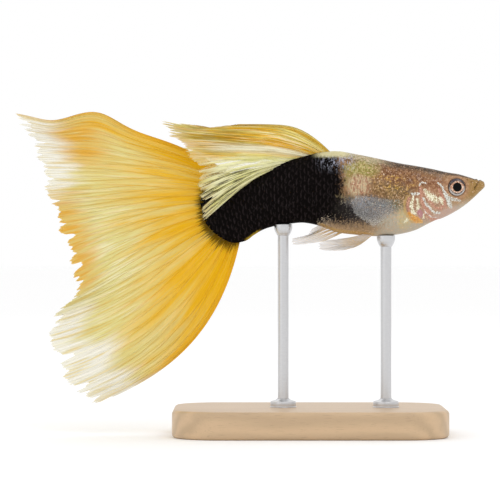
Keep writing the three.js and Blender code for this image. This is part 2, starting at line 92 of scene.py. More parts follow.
# Marks on the head, each a line of places with the mark's half width at each of them.
MARKS = {
    "pearl": [
        ([(18.95, 26.85), (19.3, 26.45), (19.8, 26.05), (20.3, 25.7)], [0.12, 0.3, 0.42, 0.3]),
        ([(20.6, 26.0), (20.85, 25.7), (20.98, 25.3)], [0.14, 0.2, 0.16]),
        ([(17.76, 26.1), (17.48, 25.2), (17.7, 24.5), (18.02, 24.2)], [0.1, 0.2, 0.22, 0.12]),
        ([(18.15, 25.8), (18.33, 24.95), (18.1, 24.6)], [0.13, 0.2, 0.12]),
        ([(18.89, 24.2), (18.89, 23.8)], [0.08, 0.1]),
        ([(17.1, 23.6), (16.8, 23.3)], [0.18, 0.12]),
    ],
    "silver": [
        ([(20.45, 27.6), (20.99, 27.1), (21.15, 26.55), (21.5, 25.98), (22.2, 25.84), (22.93, 25.68)],
         [0.1, 0.13, 0.15, 0.3, 0.2, 0.12]),
        ([(21.31, 26.2), (21.72, 25.42), (21.96, 24.95)], [0.2, 0.26, 0.14]),
        ([(18.41, 27.35), (18.65, 27.62), (19.14, 27.58)], [0.09, 0.1, 0.07]),
        ([(17.5, 26.38), (18.35, 26.4)], [0.14, 0.14]),
        ([(18.81, 25.98), (19.14, 25.34), (19.7, 24.69), (20.18, 24.37), (20.67, 24.37)],
         [0.1, 0.17, 0.13, 0.13, 0.16]),
        ([(18.85, 24.8), (19.2, 24.3), (19.86, 23.9), (20.5, 23.8)], [0.05, 0.06, 0.06, 0.05]),
    ],
    "rose": [
        ([(18.5, 27.1), (18.7, 25.8), (18.95, 24.9), (19.3, 24.3), (19.86, 23.7), (20.6, 23.6)],
         [0.16, 0.22, 0.2, 0.26, 0.26, 0.2]),
        ([(18.89, 26.7), (19.5, 25.65), (20.15, 24.93), (20.83, 24.75), (21.12, 25.34), (20.93, 26.2),
          (20.5, 27.0)], [0.1, 0.15, 0.13, 0.18, 0.16, 0.18, 0.1]),
        ([(19.3, 24.9), (19.6, 24.4)], [0.2, 0.14]),
        ([(21.2, 26.0), (21.4, 24.9)], [0.08, 0.12]),
        ([(17.25, 25.9), (17.1, 25.0), (17.3, 24.35)], [0.16, 0.18, 0.16]),
    ],
    "orange": [
        ([(17.3, 24.3), (17.75, 23.85), (18.2, 23.55), (18.75, 23.35)], [0.16, 0.32, 0.34, 0.16]),
    ],
    # The dark line along the mouth cleft is painted shadow in the crease.
    "mouth_shadow": [(MOUTH, [0.06, 0.06, 0.07, 0.07, 0.03])],
    "violet": [([(18.33, 24.6), (18.6, 24.2)], [0.24, 0.3])],
    "rim": [
        ([(17.4, 26.3), (16.95, 25.9), (16.78, 25.2), (16.88, 24.5), (17.25, 23.85), (17.7, 23.4)],
         [0.08, 0.14, 0.16, 0.17, 0.2, 0.16]),
    ],
}
# Marks that are grooves, or stand up, with their depth or height in millimetres.
GROOVES = {"rose": -0.045, "pearl": 0.03, "silver": 0.025, "rim": 0.02}
# Patches of colour: the centre, the half length and half height, and the tilt in degrees.
PATCHES = {
    "rust": ((16.9, 28.1), (3.4, 1.05), -12),
    "shade": ((15.2, 26.7), (2.2, 0.8), -8),
    "gold": ((15.4, 27.6), (2.6, 0.95), -8),
    "lilac": ((18.5, 28.4), (4.2, 0.75), -14),
    "green": ((12.1, 29.1), (1.75, 1.0), 0),
    "olive": ((10.7, 27.9), (0.5, 1.1), 10),
    "crown": ((12.2, 30.45), (2.6, 0.42), -14),
    "pink": ((11.9, 27.2), (1.35, 1.15), 0),
    "brown": ((13.9, 27.1), (0.9, 1.3), 0),
    "slate": ((12.8, 24.9), (2.5, 1.05), -4),
    "blue": ((12.0, 25.4), (1.0, 0.75), 0),
    "cyan": ((14.8, 25.2), (1.9, 0.5), -4),
    "lemon": ((16.7, 23.7), (0.75, 1.0), 20),
    "tan": ((10.9, 22.95), (3.1, 0.8), -9),
    "pepper": ((11.2, 23.7), (3.6, 1.1), -9),
    "cheek": ((20.2, 26.9), (1.3, 1.2), 20),
    "gill_plate": ((19.3, 25.1), (2.3, 1.75), 0),
    "throat": ((21.2, 24.2), (1.6, 0.5), 24),
    "round_eye": ((22.45, 27.1), (1.4, 1.4), 0),
}
# How often the search for a rib halves the body's length.
HALVINGS = 26


def smooth(value, low, high):
    """0 below low and 1 above high, with an S-shaped rise between them."""
    t = np.clip((value - low) / (high - low), 0, 1)
    return t * t * (3 - 2 * t)


def bell(value, height, centre, half_width):
    """A bell curve: the height times e to the power of minus the squared way from its centre, in
    half widths."""
    return height * np.exp(-(((value - centre) / half_width) ** 2))


def wave(turns, phase):
    """A sine wave that repeats at each whole turn, with its phase in radians."""
    return np.sin(2 * np.pi * turns + phase)


def along(table, place):
    """The rows of a table read at places between them, on a smooth curve through them all."""
    table = np.asarray(table, float)
    place = np.asarray(place, float)
    last = len(table) - 1
    start = np.clip(np.floor(place).astype(int), 0, last - 1)
    t = (place - start)[..., None]
    p0 = table[np.maximum(start - 1, 0)]
    p1 = table[start]
    p2 = table[start + 1]
    p3 = table[np.minimum(start + 2, last)]
    a, b = p2 - p0, p3 - p1
    return p1 + 0.5 * t * (a + t * (-2 * a - b - 6 * p1 + 6 * p2 + t * (a + b + 4 * p1 - 4 * p2)))


def sway(x):
    """How far the midline swings to the left: the square of the way back from the shoulder."""
    return SWAY * (np.maximum(0, SWAY_FROM_X - x) / SWAY_LENGTH) ** 2


def body_surface(place, angle):
    """Points of the body at ribs counted from the snout and angles from the fish's left side.

    Each rib is a superellipse in its own upright plane. Its lift over the rib's lowest point is
    the widest level plus the reach above or below it, times the sine to the power 2 / squareness,
    and its breadth is the half width times the cosine to the same power.
    """
    rib = along(RIBS, place)
    top, low = rib[..., 0:2], rib[..., 2:4]
    half, level = rib[..., 4], rib[..., 5]
    height = np.hypot(*np.moveaxis(top - low, -1, 0))
    up = (top - low) / height[..., None]
    across, upward = np.cos(angle), np.sin(angle)
    power = 2 / np.where(upward >= 0, rib[..., 6], rib[..., 7])
    reach = np.where(upward >= 0, 1 - level, level) * height
    lift = level * height + np.sign(upward) * np.abs(upward) ** power * reach
    x = low[..., 0] + up[..., 0] * lift
    y = sway(x) + np.sign(across) * np.abs(across) ** power * half
    z = low[..., 1] + up[..., 1] * lift
    return np.stack([x, y, z], -1), lift / height


def flank(x, z):
    """The body's half width at a place on its side, from the rib that passes through it.

    The rib is found by halving the length again and again, and the half width is then that rib's,
    times the root of one minus the height off its widest level, by the superellipse's rule.
    """
    x, z = np.broadcast_arrays(np.asarray(x, float), np.asarray(z, float))
    ahead, behind = np.zeros(x.shape), np.full(x.shape, float(LAST_RIB))
    for _ in range(HALVINGS):
        middle = (ahead + behind) / 2
        top_x, top_z, low_x, low_z = np.moveaxis(along(RIBS, middle)[..., :4], -1, 0)
        side = (top_x - low_x) * (z - low_z) - (top_z - low_z) * (x - low_x)
        ahead, behind = np.where(side > 0, middle, ahead), np.where(side > 0, behind, middle)
    rib = along(RIBS, ahead)
    run, rise = rib[..., 0] - rib[..., 2], rib[..., 1] - rib[..., 3]
    height = np.hypot(run, rise)
    lift = ((x - rib[..., 2]) * run + (z - rib[..., 3]) * rise) / height
    share = lift / height - rib[..., 5]
    square = np.where(share > 0, rib[..., 6], rib[..., 7])
    reach = np.abs(share) / np.where(share > 0, 1 - rib[..., 5], rib[..., 5])
    return rib[..., 4] * np.maximum(0, 1 - np.minimum(reach, 1) ** square) ** (1 / square)


def line_distance(x, z, line):
    """How far each place is from a line of straight stretches, and how far along it, from 0 to 1."""
    best = np.full(x.shape, 1e9)
    share = np.zeros(x.shape)
    count = len(line) - 1
    for k, ((ax, az), (bx, bz)) in enumerate(zip(line, line[1:])):
        length = math.hypot(bx - ax, bz - az)
        t = np.clip(((x - ax) * (bx - ax) + (z - az) * (bz - az)) / length**2, 0, 1)
        gap = np.hypot(x - ax - t * (bx - ax), z - az - t * (bz - az))
        share = np.where(gap < best, (k + t) / count, share)
        best = np.minimum(best, gap)
    return best, share


def mark_mask(x, z, mark):
    """How strongly each place belongs to a mark: 1 inside its lines' width, and 0 well out of it."""
    strength = np.zeros(x.shape)
    for line, widths in MARKS[mark]:
        gap, share = line_distance(x, z, line)
        width = np.interp(share, np.linspace(0, 1, len(widths)), widths)
        strength = np.maximum(strength, 1 - smooth(gap / width, 0.35, 1.65))
    return strength


def surface_normals(points):
    """Unit normals of a grid of points, from the cross product of its two slopes."""
    down = np.gradient(points, axis=0)
    over = np.gradient(points, axis=1)
    normal = np.cross(down, over)
    return normal / np.maximum(np.linalg.norm(normal, axis=-1, keepdims=True), 1e-12)


def grid_quads(rows, columns, wrap=False):
    """The corner numbers of a grid's four-sided faces. With wrap, the last column is joined to
    the first."""
    i = np.arange(rows - 1)[:, None]
    j = np.arange(columns if wrap else columns - 1)[None, :]
    beside = (j + 1) % columns
    here, below = i * columns, (i + 1) * columns
    return np.stack([here + j, here + beside, below + beside, below + j], -1).reshape(-1, 4)


def mesh_object(name, points, quads, triangles=None, uv=None, marks=None):
    """A smooth mesh in metres from points in millimetres."""
    points = np.asarray(points, float).reshape(-1, 3) * MM
    triangles = np.zeros((0, 3), int) if triangles is None else np.asarray(triangles)
    quads = np.asarray(quads)
    corners = np.concatenate([quads.ravel(), triangles.ravel()]).astype(np.int32)
    sizes = np.concatenate([np.full(len(quads), 4), np.full(len(triangles), 3)]).astype(np.int32)
    # The signed volume, from a fan of each face about its first corner, says which way faces point.
    fans = np.concatenate([quads[:, [0, 1, 2]], quads[:, [0, 2, 3]], triangles])
    a, b, c = (points[fans[:, k]] for k in range(3))
    inside_out = np.einsum("ij,ij->i", a, np.cross(b, c)).sum() < 0
    mesh = bpy.data.meshes.new(name)
    mesh.vertices.add(len(points))
    mesh.vertices.foreach_set("co", points.ravel())
    mesh.loops.add(len(corners))
    mesh.loops.foreach_set("vertex_index", corners)
    mesh.polygons.add(len(sizes))
    starts = np.concatenate([[0], np.cumsum(sizes)[:-1]]).astype(np.int32)
    mesh.polygons.foreach_set("loop_start", starts)
    mesh.polygons.foreach_set("use_smooth", np.ones(len(sizes), bool))
    if uv is not None:
        layer = mesh.uv_layers.new(name="UVMap")
        layer.data.foreach_set("uv", np.asarray(uv, np.float32).reshape(-1, 2)[corners].ravel())
    for mark, values in (marks or {}).items():
        attribute = mesh.attributes.new(mark, "FLOAT", "POINT")
        attribute.data.foreach_set("value", np.asarray(values, np.float32).ravel())
    mesh.update(calc_edges=True)
    if inside_out:
        mesh.flip_normals()
    mesh.validate()
    piece = bpy.data.objects.new(name, mesh)
    bpy.context.scene.collection.objects.link(piece)
    return piece


def ringed_mesh(name, rings, ends, marks=None):
    """A closed mesh of rings of points, with a fan to an end point at the first and last ring.
    Marks hold a value for each point, and then for the two end points."""
    rows, columns = rings.shape[:2]
    first = np.arange(columns)
    beside = (first + 1) % columns
    last = (rows - 1) * columns
    end = np.full(columns, rows * columns)
    fans = np.concatenate([
        np.stack([end, beside, first], 1), np.stack([end + 1, last + first, last + beside], 1)])
    points = np.concatenate([rings.reshape(-1, 3), ends])
    return mesh_object(name, points, grid_quads(rows, columns, wrap=True), fans, marks=marks)


def finish_piece(piece, finish, slot_name, *replaced):
    """Gives a piece its material and its body, and hides the nodes that it stands for. The slot name is
    not used.
    """
    piece.data.materials.append(finish)
    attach(piece, "root")
    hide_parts(*replaced)


# Shader maths

def arithmetic(operation, swapped=False):
    """A method that works out one operation on a value and the other term, if there is one, which
    comes first when they are swapped."""
    def method(value, *others):
        terms = (*others, value) if swapped else (value, *others)
        return value.maths(operation, *terms)
    return method


class Value:
    """A number that varies over a surface. Arithmetic on it adds Math nodes."""

    def __init__(self, finish, socket):
        self.finish = finish
        self.socket = socket

    def maths(self, operation, *terms):
        """One operation on values or plain numbers."""
        made = self.finish.node("ShaderNodeMath", {"operation": operation}, dict(enumerate(terms)))
        return self.finish.number(made)

    def smooth(self, low, high, to_low=0.0, to_high=1.0):
        """An S-shaped step from to_low to to_high as the value goes from low to high."""
        made = self.finish.node("ShaderNodeMapRange", {"interpolation_type": "SMOOTHSTEP"}, {
            0: self, 1: low, 2: high, 3: to_low, 4: to_high})
        return self.finish.number(made)

    __add__ = arithmetic("ADD")
    __radd__ = arithmetic("ADD", swapped=True)
    __sub__ = arithmetic("SUBTRACT")
    __rsub__ = arithmetic("SUBTRACT", swapped=True)
    __mul__ = arithmetic("MULTIPLY")
    __rmul__ = arithmetic("MULTIPLY", swapped=True)
    __truediv__ = arithmetic("DIVIDE")
    __abs__ = arithmetic("ABSOLUTE")
    most = arithmetic("MAXIMUM")
    sine = arithmetic("SINE")
    root = arithmetic("SQRT")
    fraction = arithmetic("FRACT")


class Finish:
    """One material, built from nodes."""

    def __init__(self, name):
        self.material = bpy.data.materials.new(name)
        self.material.use_nodes = True
        self.tree = self.material.node_tree
        self.tree.nodes.clear()

    def node(self, kind, settings=None, inputs=None):
        """A node with its settings, and the values or links of its sockets by name or number."""
        made = self.tree.nodes.new(kind)
        for key, setting in (settings or {}).items():
            setattr(made, key, setting)
        for key, entry in (inputs or {}).items():
            socket = made.inputs[key]
            if isinstance(entry, Value):
                self.tree.links.new(entry.socket, socket)
            elif isinstance(entry, bpy.types.NodeSocket):
                self.tree.links.new(entry, socket)
            elif socket.type == "RGBA":
                socket.default_value = (*entry, 1.0)
            else:
                socket.default_value = entry
        return made

    def number(self, node, output=0):
        return Value(self, node.outputs[output])

    def place(self):
        """X, Y and Z on the object, in millimetres."""
        coordinates = self.node("ShaderNodeTexCoord").outputs["Object"]
        scaled = self.node(
            "ShaderNodeVectorMath", {"operation": "SCALE"}, {0: coordinates, "Scale": 1 / MM})
        split = self.node("ShaderNodeSeparateXYZ", None, {0: scaled.outputs[0]})
        return [self.number(split, k) for k in range(3)]

    def flat_place(self):
        """The two numbers of the piece's own UV map: along the rays and across them."""
        split = self.node("ShaderNodeSeparateXYZ", None, {0: self.node("ShaderNodeUVMap").outputs[0]})
        return self.number(split, 0), self.number(split, 1)

    def mark(self, name):
        return self.number(self.node("ShaderNodeAttribute", {"attribute_name": name}), "Fac")

    def vector(self, x, y, z=0.0):
        return self.node("ShaderNodeCombineXYZ", None, {0: x, 1: y, 2: z}).outputs[0]

    def noise(self, vector, scale=1.0, detail=2.0, roughness=0.5):
        made = self.node("ShaderNodeTexNoise", None, {
            "Vector": vector, "Scale": scale, "Detail": detail, "Roughness": roughness})
        return self.number(made)

    def blend(self, factor, first, second, kind="MIX"):
        """A colour between two colours."""
        made = self.node("ShaderNodeMix", {"data_type": "RGBA", "blend_type": kind}, {
            0: factor, 6: first, 7: second})
        return made.outputs[2]

    def bump(self, height, strength, distance):
        """A normal bent by a height, with the distance in millimetres."""
        made = self.node("ShaderNodeBump", None, {
            "Height": height, "Strength": strength, "Distance": distance * MM})
        return made.outputs[0]

    def principled(self, **sockets):
        names = {key.replace("_", " "): entry for key, entry in sockets.items()}
        return self.node("ShaderNodeBsdfPrincipled", None, names).outputs[0]

    def mix(self, factor, first, second):
        return self.node("ShaderNodeMixShader", None, {0: factor, 1: first, 2: second}).outputs[0]

    def close(self, shader):
        self.node("ShaderNodeOutputMaterial", None, {"Surface": shader})
        return self.material


class Paint:
    """A colour that is built up on a finish, coat by coat."""

    def __init__(self, finish, colour):
        self.finish = finish
        self.colour = colour

    def coat(self, amount, colour):
        """A colour over the ones so far, as thick as the amount says."""
        self.colour = self.finish.blend(amount, self.colour, colour)

    def mottle(self, amount, noise, low, high, first, second):
        """A coat that runs from the first colour to the second as the noise goes from low to high."""
        self.coat(amount, self.finish.blend(noise.smooth(low, high), first, second))

    def tint(self, amount, colour):
        """Multiplies the colours so far by another."""
        self.colour = self.finish.blend(amount, self.colour, colour, "MULTIPLY")


def patch_mask(x, z, name, soft):
    """A soft-edged oval patch, from 0 outside it to 1 within: 1 where the stretched distance
    from its centre is under 1 - soft, and 0 where it is over 1 + soft."""
    centre, radii, tilt = PATCHES[name]
    turn = math.radians(tilt)
    dx, dz = x - centre[0], z - centre[1]
    a = (dx * math.cos(turn) + dz * math.sin(turn)) / radii[0]
    b = (dz * math.cos(turn) - dx * math.sin(turn)) / radii[1]
    return (a * a + b * b).root().smooth(1 + soft, 1 - soft)


# Settings

def length_setting(label, text, default):
    return bpy.props.FloatProperty(
        name=label, description=text, default=default, unit="LENGTH", precision=5)


def colour_setting(label, text, default):
    return bpy.props.FloatVectorProperty(
        name=label, description=text, default=default, subtype="COLOR", size=3, min=0.0, max=1.0)


class GuppyForm(bpy.types.PropertyGroup):
    """Sizes that a user may change."""

    scale_relief: length_setting("Scale relief", "How high each scale's rear edge stands", 0.000018)
    membrane: length_setting("Membrane", "Half the thickness of a fin between its rays", 0.00004)
    ray_relief: length_setting("Ray relief", "How far a fin ray stands over the membrane", 0.00007)
    socket_depth: length_setting("Eye socket depth", "How far the eye's socket goes in", 0.00045)
    gill_step: length_setting("Gill cover step", "How far the gill cover's edge stands out", 0.00011)


class GuppyColours(bpy.types.PropertyGroup):
    """Colours that a user may change."""

    back: colour_setting("Back", "The brown of the back and the top of the head", (0.16, 0.11, 0.075))
    side: colour_setting("Side", "The golden brown of the shoulder", (0.28, 0.155, 0.075))
    belly: colour_setting("Belly", "The silvery cream of the belly", (0.53, 0.5, 0.41))
    black: colour_setting("Black", "The black of the rear body", (0.003, 0.0022, 0.002))
    gold: colour_setting("Gold", "The deep yellow of the fins", (0.86, 0.53, 0.008))
    pale: colour_setting("Pale yellow", "The light yellow of the fins", (0.8, 0.735, 0.32))
    wood: colour_setting("Wood", "The pale wood of the stand's base", (0.6, 0.42, 0.25))


# Skin

SKIN_ROWS = 440
SKIN_COLUMNS = 216
# As far back as this rib the skin's rings are so many times closer together, and the snout adds
# to that, fading from rib to rib.
HEAD_END = 9.0
HEAD_CLOSER = 2.6
SNOUT_CLOSER, SNOUT_FADE = 6, 3
# The scales' length and height, the bow of their rear edge, and the shares of a scale that its
# drop to the next one and its fading sides take up. Two sets of scales sit half a scale apart.
SCALE_LONG, SCALE_HIGH = 0.84, 0.98
SCALE_BOW, SCALE_DROP, SCALE_FADE = 1.1, 0.16, 0.3
SCALE_SETS = (0.0, 0.5)
# Grooves and ridges of the head: the depth or height, how far away it lies, and the half width. It
# lies away from the mouth line or the eye's centre in millimetres, or from the gill cover's centre
# in the cover's own radii.
MOUTH_CUT = (0.13, 0.0, 0.06)
LIP_RIDGE = (0.07, 0.22, 0.12)
EYELID = (0.06, 1.1, 0.11)
GILL_SLIT = (0.05, 1.05, 0.03)
NOSTRIL_DEPTH, NOSTRIL_RIM = 0.13, 0.035
SOCKET_FROM, SOCKET_TO = 0.9, 1.0


def skin_places():
    """Places of the skin's rings, spaced evenly along the midline but closer on the head."""
    fine = np.linspace(0, LAST_RIB, 3000)
    rib = along(RIBS, fine)
    middle = (rib[:, 0:2] + rib[:, 2:4]) / 2
    steps = np.hypot(*np.diff(middle, axis=0).T)
    weight = np.where(fine[:-1] < HEAD_END, HEAD_CLOSER, 1.0)
    weight = weight + SNOUT_CLOSER * np.exp(-fine[:-1] * SNOUT_FADE)
    run = np.concatenate([[0], np.cumsum(steps * weight)])
    length = np.concatenate([[0], np.cumsum(steps)])
    place = np.interp(np.linspace(0, run[-1], SKIN_ROWS), run, fine)
    return place, np.interp(place, fine, length)


def scale_relief(long, wide):
    """Height of the overlapping scales, 0 to 1, from distances along and round the body.

    Each of the two sets rises from front to rear and is cut off on an arc, fading towards its
    sides, and the higher of the two sets shows.
    """
    heights = []
    for shift in SCALE_SETS:
        b = (wide / SCALE_HIGH + shift) % 1.0 - 0.5
        a = (long / SCALE_LONG + shift + SCALE_BOW * b * b) % 1.0
        rise = a * smooth(1 - a, 0.0, SCALE_DROP)
        heights.append(rise * smooth(0.5 - np.abs(b), 0.0, SCALE_FADE))
    return np.maximum(*heights)


def mouth_relief(x, z):
    """A sunk line that deepens from the tip and fades at its end, with a lip on each side."""
    gap, share = line_distance(x, z, MOUTH)
    fade = 1 - smooth(share, 0.72, 1.0)
    deepening = 0.45 + 0.55 * smooth(share, 0.15, 0.45)
    return fade * (bell(gap, *LIP_RIDGE) - deepening * bell(gap, *MOUTH_CUT))


def eye_relief(x, z, form):
    """The eye's socket, and the lid-like rim round it."""
    away = np.hypot(x - EYE["x"], z - EYE["z"])
    return bell(away, *EYELID) - form.socket_depth / MM * (1 - smooth(away, SOCKET_FROM, SOCKET_TO))


def nostril_relief(x, z):
    """Small pits, each with a raised edge."""
    relief = np.zeros(x.shape)
    for pit_x, pit_z, radius in NOSTRILS:
        away = np.hypot(x - pit_x, z - pit_z) / radius
        relief += bell(away, NOSTRIL_RIM, 1.35, 0.4)
        relief -= NOSTRIL_DEPTH * (1 - smooth(away, 0.5, 1.0))
    return relief


def gill_relief(x, z, form):
    """The gill cover's raised rear edge, and the narrow slit behind it."""
    dx, dz = x - GILL_COVER["x"], z - GILL_COVER["z"]
    away = np.hypot(dx, dz) / GILL_COVER["radius"]
    rearward = smooth(-dx - 0.35 * dz, -1.3, 0.5)
    raised = np.exp(-(np.maximum(0, 1 - away) / 0.5) ** 2) * (1 - smooth(away, 0.985, 1.03))
    return rearward * (form.gill_step / MM * raised - bell(away, *GILL_SLIT))


def skin_relief(x, z, long, wide, share, form):
    """How far the skin stands out of the plain body: the sum of all its details."""
    relief = mouth_relief(x, z) + eye_relief(x, z, form) + nostril_relief(x, z)
    relief += gill_relief(x, z, form)
    for mark, height in GROOVES.items():
        relief += height * mark_mask(x, z, mark)
    scaled = smooth(long, 7.6, 10.5) * smooth(share, 0.02, 0.2)
    return relief + form.scale_relief / MM * scaled * (scale_relief(long, wide) - 0.5)


def build_skin(form):
    """The whole skin: rings of the body surface moved along their normals by the relief."""
    place, long = skin_places()
    angle = np.linspace(0, 2 * np.pi, SKIN_COLUMNS, endpoint=False) + np.pi / 2
    plain, share = body_surface(place[:, None], angle[None, :])
    wrapped = np.concatenate([plain[:, -1:], plain, plain[:, :1]], 1)
    normal = surface_normals(wrapped)[:, 1:-1]
    from_middle = plain - plain.mean(1, keepdims=True)
    normal *= np.sign(np.einsum("ijk,ijk->ij", normal, from_middle))[..., None]
    girth = np.linalg.norm(np.diff(wrapped[:, 1:], axis=1), axis=-1)
    wide = np.concatenate([np.zeros((SKIN_ROWS, 1)), np.cumsum(girth, 1)[:, :-1]], 1)
    wide = np.minimum(wide, girth.sum(1, keepdims=True) - wide)
    long = np.broadcast_to(long[:, None], share.shape)
    x, z = plain[..., 0], plain[..., 2]
    rings = plain + normal * skin_relief(x, z, long, wide, share, form)[..., None]
    ends = np.stack([rings[0].mean(0), rings[-1].mean(0)])
    marks = {
        "along": np.append(long.ravel(), [long[0, 0], long[-1, 0]]),
        "round": np.append(wide.ravel(), [0.2, 0.2]),
        "share": np.append(share.ravel(), [0.5, 0.5]),
    }
    for mark in MARKS:
        marks[mark] = np.append(mark_mask(x, z, mark).ravel(), [0, 0])
    return ringed_mesh("guppy_skin", rings, ends, marks)


class SkinField:
    """What the skin's colours are worked out from: places, distances along and round the body,
    shares of its height, and noises from -0.5 to 0.5, from the broadest to the finest."""

    def __init__(self, finish):
        self.x, y, self.z = finish.place()
        self.long, self.wide, self.share = (finish.mark(name) for name in ("along", "round", "share"))
        here, aside = finish.vector(self.x, y, self.z), finish.vector(self.z, self.x, y)
        self.broad = finish.noise(here, 0.9, 3.0) - 0.5
        self.blot = finish.noise(here, 2.1, 4.0, 0.7) - 0.5
        self.spill = finish.noise(aside, 2.6, 4.0, 0.7) - 0.5
        self.fine = finish.noise(here, 5.0, 3.0, 0.65) - 0.5
        self.grain = finish.noise(aside, 8.0, 3.0, 0.7) - 0.5
        drawn_up = finish.vector(self.x * 5.5, self.z * 1.7, y * 1.7)
        self.upright = finish.noise(drawn_up, 1.0, 3.0, 0.65) - 0.5
        self.drift_x = self.x + self.broad * 1.2 + self.fine * 0.5
        self.drift_z = self.z + (finish.noise(aside, 0.9, 3.0) - 0.5) * 1.2 + self.fine * 0.5
        self.scaled = self.long.smooth(7.0, 10.0) * self.share.smooth(0.02, 0.2)
        self.scale_height, self.scale_rim = self.scales()

    def scales(self):
        """Height and rear rim of the scales, by the same two sets as in the mesh."""
        heights, rims = [], []
        for shift in SCALE_SETS:
            b = (self.wide / SCALE_HIGH + shift).fraction() - 0.5
            a = (self.long / SCALE_LONG + shift + b * b * SCALE_BOW).fraction()
            side = (0.5 - abs(b)).smooth(0.0, SCALE_FADE)
            heights.append(a * (1 - a).smooth(0.0, SCALE_DROP) * side)
            rims.append(a.smooth(0.72, 0.9) * side)
        return heights[0].most(heights[1]), rims[0].most(rims[1])

    def patch(self, name, soft=0.5):
        """A patch whose outline drifts with the noises."""
        return patch_mask(self.drift_x, self.drift_z, name, soft)


def paint_side(paint, skin, colours):
    """The front half from back to belly, mottled with rust, lilac and gold."""
    patch = skin.patch
    level = skin.share + skin.blot * 0.2
    paint.coat(level.smooth(0.8, 0.97), tuple(colours.back))
    paint.coat(skin.blot.smooth(-0.02, 0.16) * skin.share.smooth(0.5, 0.65), (0.36, 0.27, 0.22))
    paint.coat(level.smooth(0.56, 0.42), (0.2, 0.165, 0.09))
    paint.coat(level.smooth(0.42, 0.24), tuple(colours.belly))
    crest = skin.share.smooth(0.95, 0.84)
    golden = (skin.spill + skin.fine * 0.6).smooth(0.02, 0.13) * patch("gold", 0.45) * crest
    lilac = (skin.blot + skin.fine * 0.5).smooth(0.05, 0.16) * patch("lilac", 0.45) * crest
    paint.mottle(patch("rust") * 0.85, skin.spill, -0.1, 0.12, (0.15, 0.06, 0.025), (0.38, 0.2, 0.1))
    paint.mottle(patch("shade") * 0.75, skin.fine, -0.12, 0.12, (0.11, 0.075, 0.03), (0.3, 0.22, 0.1))
    paint.mottle(golden * 0.95, skin.grain, -0.1, 0.1, (0.55, 0.3, 0.04), (0.86, 0.6, 0.14))
    paint.coat(lilac * 0.6, (0.5, 0.38, 0.35))


def paint_shoulder(paint, skin):
    """Yellow-green and pale gold in front of the black, with pink and cream upright streaks."""
    patch = skin.patch
    green = skin.blot + skin.fine
    paint.mottle(patch("green", 0.4) * 0.92, green, -0.12, 0.16, (0.3, 0.27, 0.07), (0.6, 0.57, 0.24))
    paint.coat(patch("olive") * 0.7, (0.34, 0.3, 0.09))
    paint.mottle(patch("crown") * 0.85, skin.fine, -0.08, 0.1, (0.42, 0.38, 0.2), (0.72, 0.68, 0.5))
    pink = patch("pink", 0.35) * 0.95
    paint.mottle(pink, skin.upright, -0.1, 0.1, (0.4, 0.21, 0.14), (0.68, 0.58, 0.38))
    paint.mottle(patch("brown", 0.45) * 0.6, skin.fine, -0.1, 0.1, (0.2, 0.1, 0.04), (0.42, 0.27, 0.13))


def paint_low_side(paint, skin):
    """Blue-grey low on the side, then silver, with tan below and pepper towards the black."""
    patch = skin.patch
    slate = patch("slate", 0.45) * 0.9
    paint.mottle(slate, skin.upright, -0.1, 0.14, (0.1, 0.1, 0.12), (0.24, 0.27, 0.33))
    paint.coat(patch("blue") * skin.upright.smooth(0.0, 0.1) * 0.75, (0.3, 0.4, 0.58))
    paint.coat(patch("cyan") * (skin.fine + skin.blot).smooth(0.0, 0.14) * 0.7, (0.42, 0.6, 0.62))
    paint.coat(patch("lemon") * skin.fine.smooth(-0.1, 0.1, 0.5, 1.0) * 0.75, (0.7, 0.6, 0.28))
    tan = patch("tan", 0.4) * 0.95
    paint.mottle(tan, skin.fine + skin.grain, -0.12, 0.12, (0.3, 0.2, 0.11), (0.56, 0.41, 0.24))
    keel = (skin.share + skin.fine * 0.05).smooth(0.055, 0.025)
    paint.coat(keel * skin.x.smooth(14.2, 13.0) * skin.x.smooth(7.0, 8.0) * 0.7, (0.55, 0.32, 0.06))
    peppered = patch_mask(skin.x, skin.z, "pepper", 0.6)
    dots = (skin.fine + skin.grain * 0.9 + peppered * 0.06).smooth(0.05, 0.14)
    paint.coat(dots * peppered * 0.9, (0.03, 0.025, 0.025))
    paint.coat(skin.scaled * skin.scale_rim * 0.12, (0.07, 0.05, 0.035))


def paint_head(paint, skin):
    """Tan and freckled in front, rust behind the eye and lilac-pink below."""
    x, z, share = skin.x, skin.z, skin.share
    paint.coat(x.smooth(20.6, 22.8) * share.smooth(0.02, 0.3), (0.44, 0.27, 0.14))
    paint.coat(x.smooth(23.0, 24.6) * 0.9, (0.37, 0.235, 0.075))
    cheek = patch_mask(x + skin.fine * 0.6, z + skin.blot * 0.8, "cheek", 0.4)
    paint.mottle(cheek * 0.8, skin.spill, -0.08, 0.12, (0.24, 0.1, 0.05), (0.45, 0.25, 0.15))
    plate = patch_mask(x + skin.fine * 0.4, z + skin.blot * 0.4, "gill_plate", 0.3)
    paint.mottle(plate * 0.75, skin.fine, -0.1, 0.1, (0.42, 0.22, 0.14), (0.6, 0.4, 0.28))
    paint.coat(patch_mask(x, z + skin.fine * 0.3, "throat", 0.45) * 0.85, (0.6, 0.45, 0.4))
    copper = patch_mask(x + skin.fine * 0.2, z, "round_eye", 0.2)
    paint.mottle(copper * 0.7, skin.blot, -0.1, 0.1, (0.4, 0.2, 0.12), (0.56, 0.36, 0.22))
    freckles = (skin.fine + skin.grain * 0.8).smooth(0.08, 0.18) * share.smooth(0.35, 0.7)
    paint.coat(freckles * x.smooth(15.0, 17.0) * 0.6, (0.07, 0.04, 0.015))
    ridge = (share + skin.fine * 0.05).smooth(0.9, 0.965) * x.smooth(14.0, 16.5)
    paint.coat(ridge * 0.95, (0.03, 0.016, 0.006))


